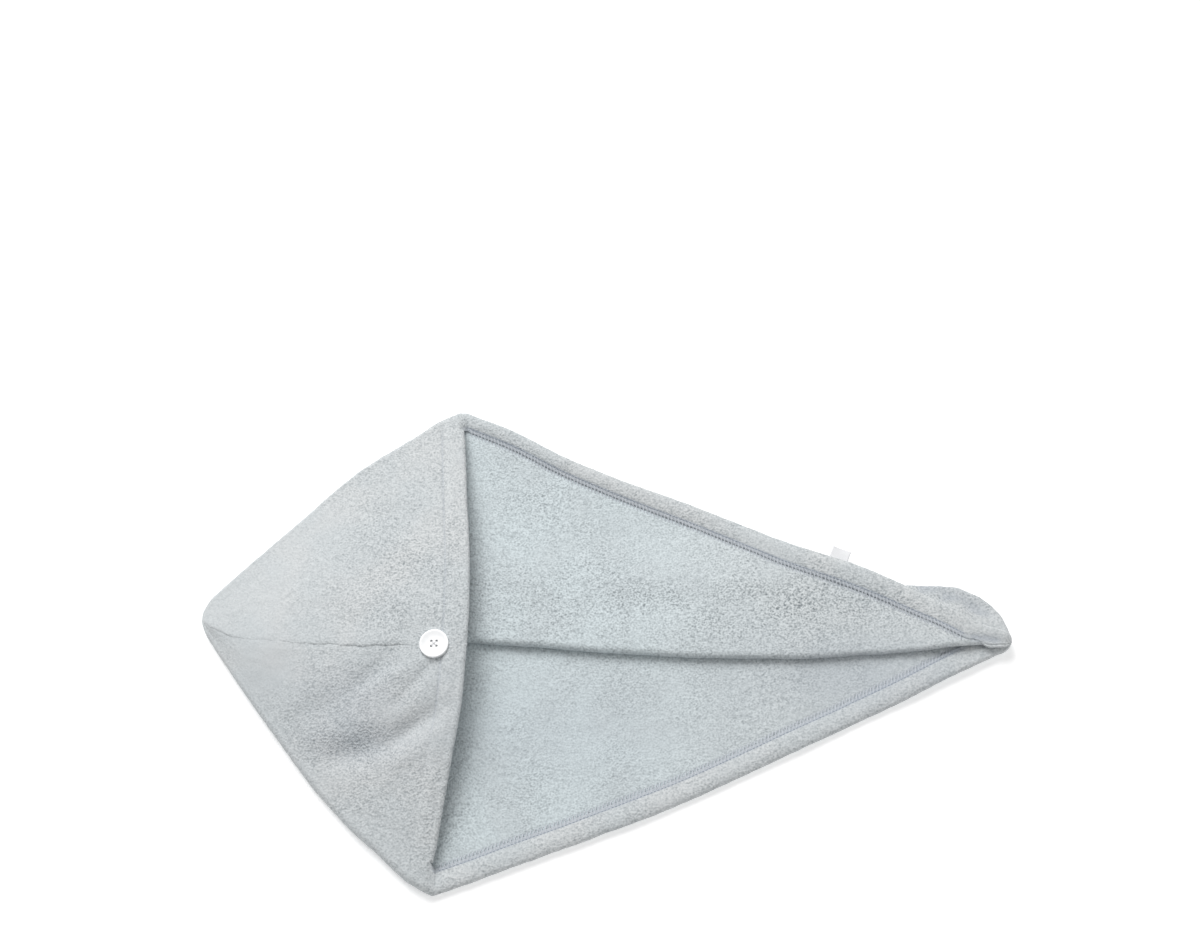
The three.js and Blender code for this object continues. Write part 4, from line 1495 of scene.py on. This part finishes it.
class TURBAN_OT_declare(bpy.types.Operator):
    """Does nothing and finishes at once; no sheets are declared here"""
    bl_idname = "turban.declare"
    bl_label = "Declare the sheets"

    def execute(self, context):
        return {"FINISHED"}


class TURBAN_OT_stitching(bpy.types.Operator):
    """Adds the overlock stitches of the tail's hems and the topstitching of the hood's"""
    bl_idname = "turban.stitching"
    bl_label = "Stitching"

    def execute(self, context):
        scene = context.scene
        sizes = scene.turban_sizes
        needle_thread = spun_thread("polyester_needle_thread", scene.turban_colours.hem_thread)
        looper_thread = spun_thread("polyester_looper_thread", scene.turban_colours.looper_thread)
        for side, half, q_to in ((-1, "near", 0.9), (1, "far", 0.96)):
            tree = surface_of(bpy.data.objects[f"{half}_panel"])
            needle = hem_line(sizes, side, NEEDLE_REACH, STITCHES_FROM, q_to)
            looper = hem_line(sizes, side, -RAW_REACH, STITCHES_FROM, q_to)
            top = topstitch_line(sizes, side)
            rows = (
                ("hem_stitches", running_row(tree, needle, sizes, 0.15 * MM), needle_thread),
                ("hem_ladder", ladder_row(tree, needle, looper, sizes, 0.05 * MM), looper_thread),
                ("topstitching", running_row(tree, top, sizes, 0.35 * MM), looper_thread),
            )
            for name, row, thread in rows:
                name = f"{name}_{half}"
                take_piece(tube_object(name, [row]), name, "sewing_thread", thread)
        return {"FINISHED"}


OPERATORS = (TURBAN_OT_stage, TURBAN_OT_panels, TURBAN_OT_stitching, TURBAN_OT_button,
             TURBAN_OT_loop, TURBAN_OT_label, TURBAN_OT_declare)


class TURBAN_PT_panel(bpy.types.Panel):
    """Lists the towel's sizes, colours and operators"""
    bl_label = "Turban"
    bl_space_type = "VIEW_3D"
    bl_region_type = "UI"
    bl_category = "Turban"

    def draw(self, context):
        layout = self.layout
        for group in (context.scene.turban_sizes, context.scene.turban_colours):
            for name in group.__annotations__:
                layout.prop(group, name)
        for operator in OPERATORS:
            layout.operator(operator.bl_idname)


CLASSES = (TurbanSizes, TurbanColours, *OPERATORS, TURBAN_PT_panel)


def register():
    for item in CLASSES:
        bpy.utils.register_class(item)
    bpy.types.Scene.turban_sizes = bpy.props.PointerProperty(type=TurbanSizes)
    bpy.types.Scene.turban_colours = bpy.props.PointerProperty(type=TurbanColours)


def unregister():
    del bpy.types.Scene.turban_sizes
    del bpy.types.Scene.turban_colours
    for item in reversed(CLASSES):
        bpy.utils.unregister_class(item)


def main():
    register()
    bpy.ops.turban.stage()
    bpy.ops.turban.panels()
    bpy.ops.turban.stitching()
    bpy.ops.turban.button()
    bpy.ops.turban.loop()
    bpy.ops.turban.label()
    bpy.ops.turban.declare()


if __name__ == "__main__":
    main()
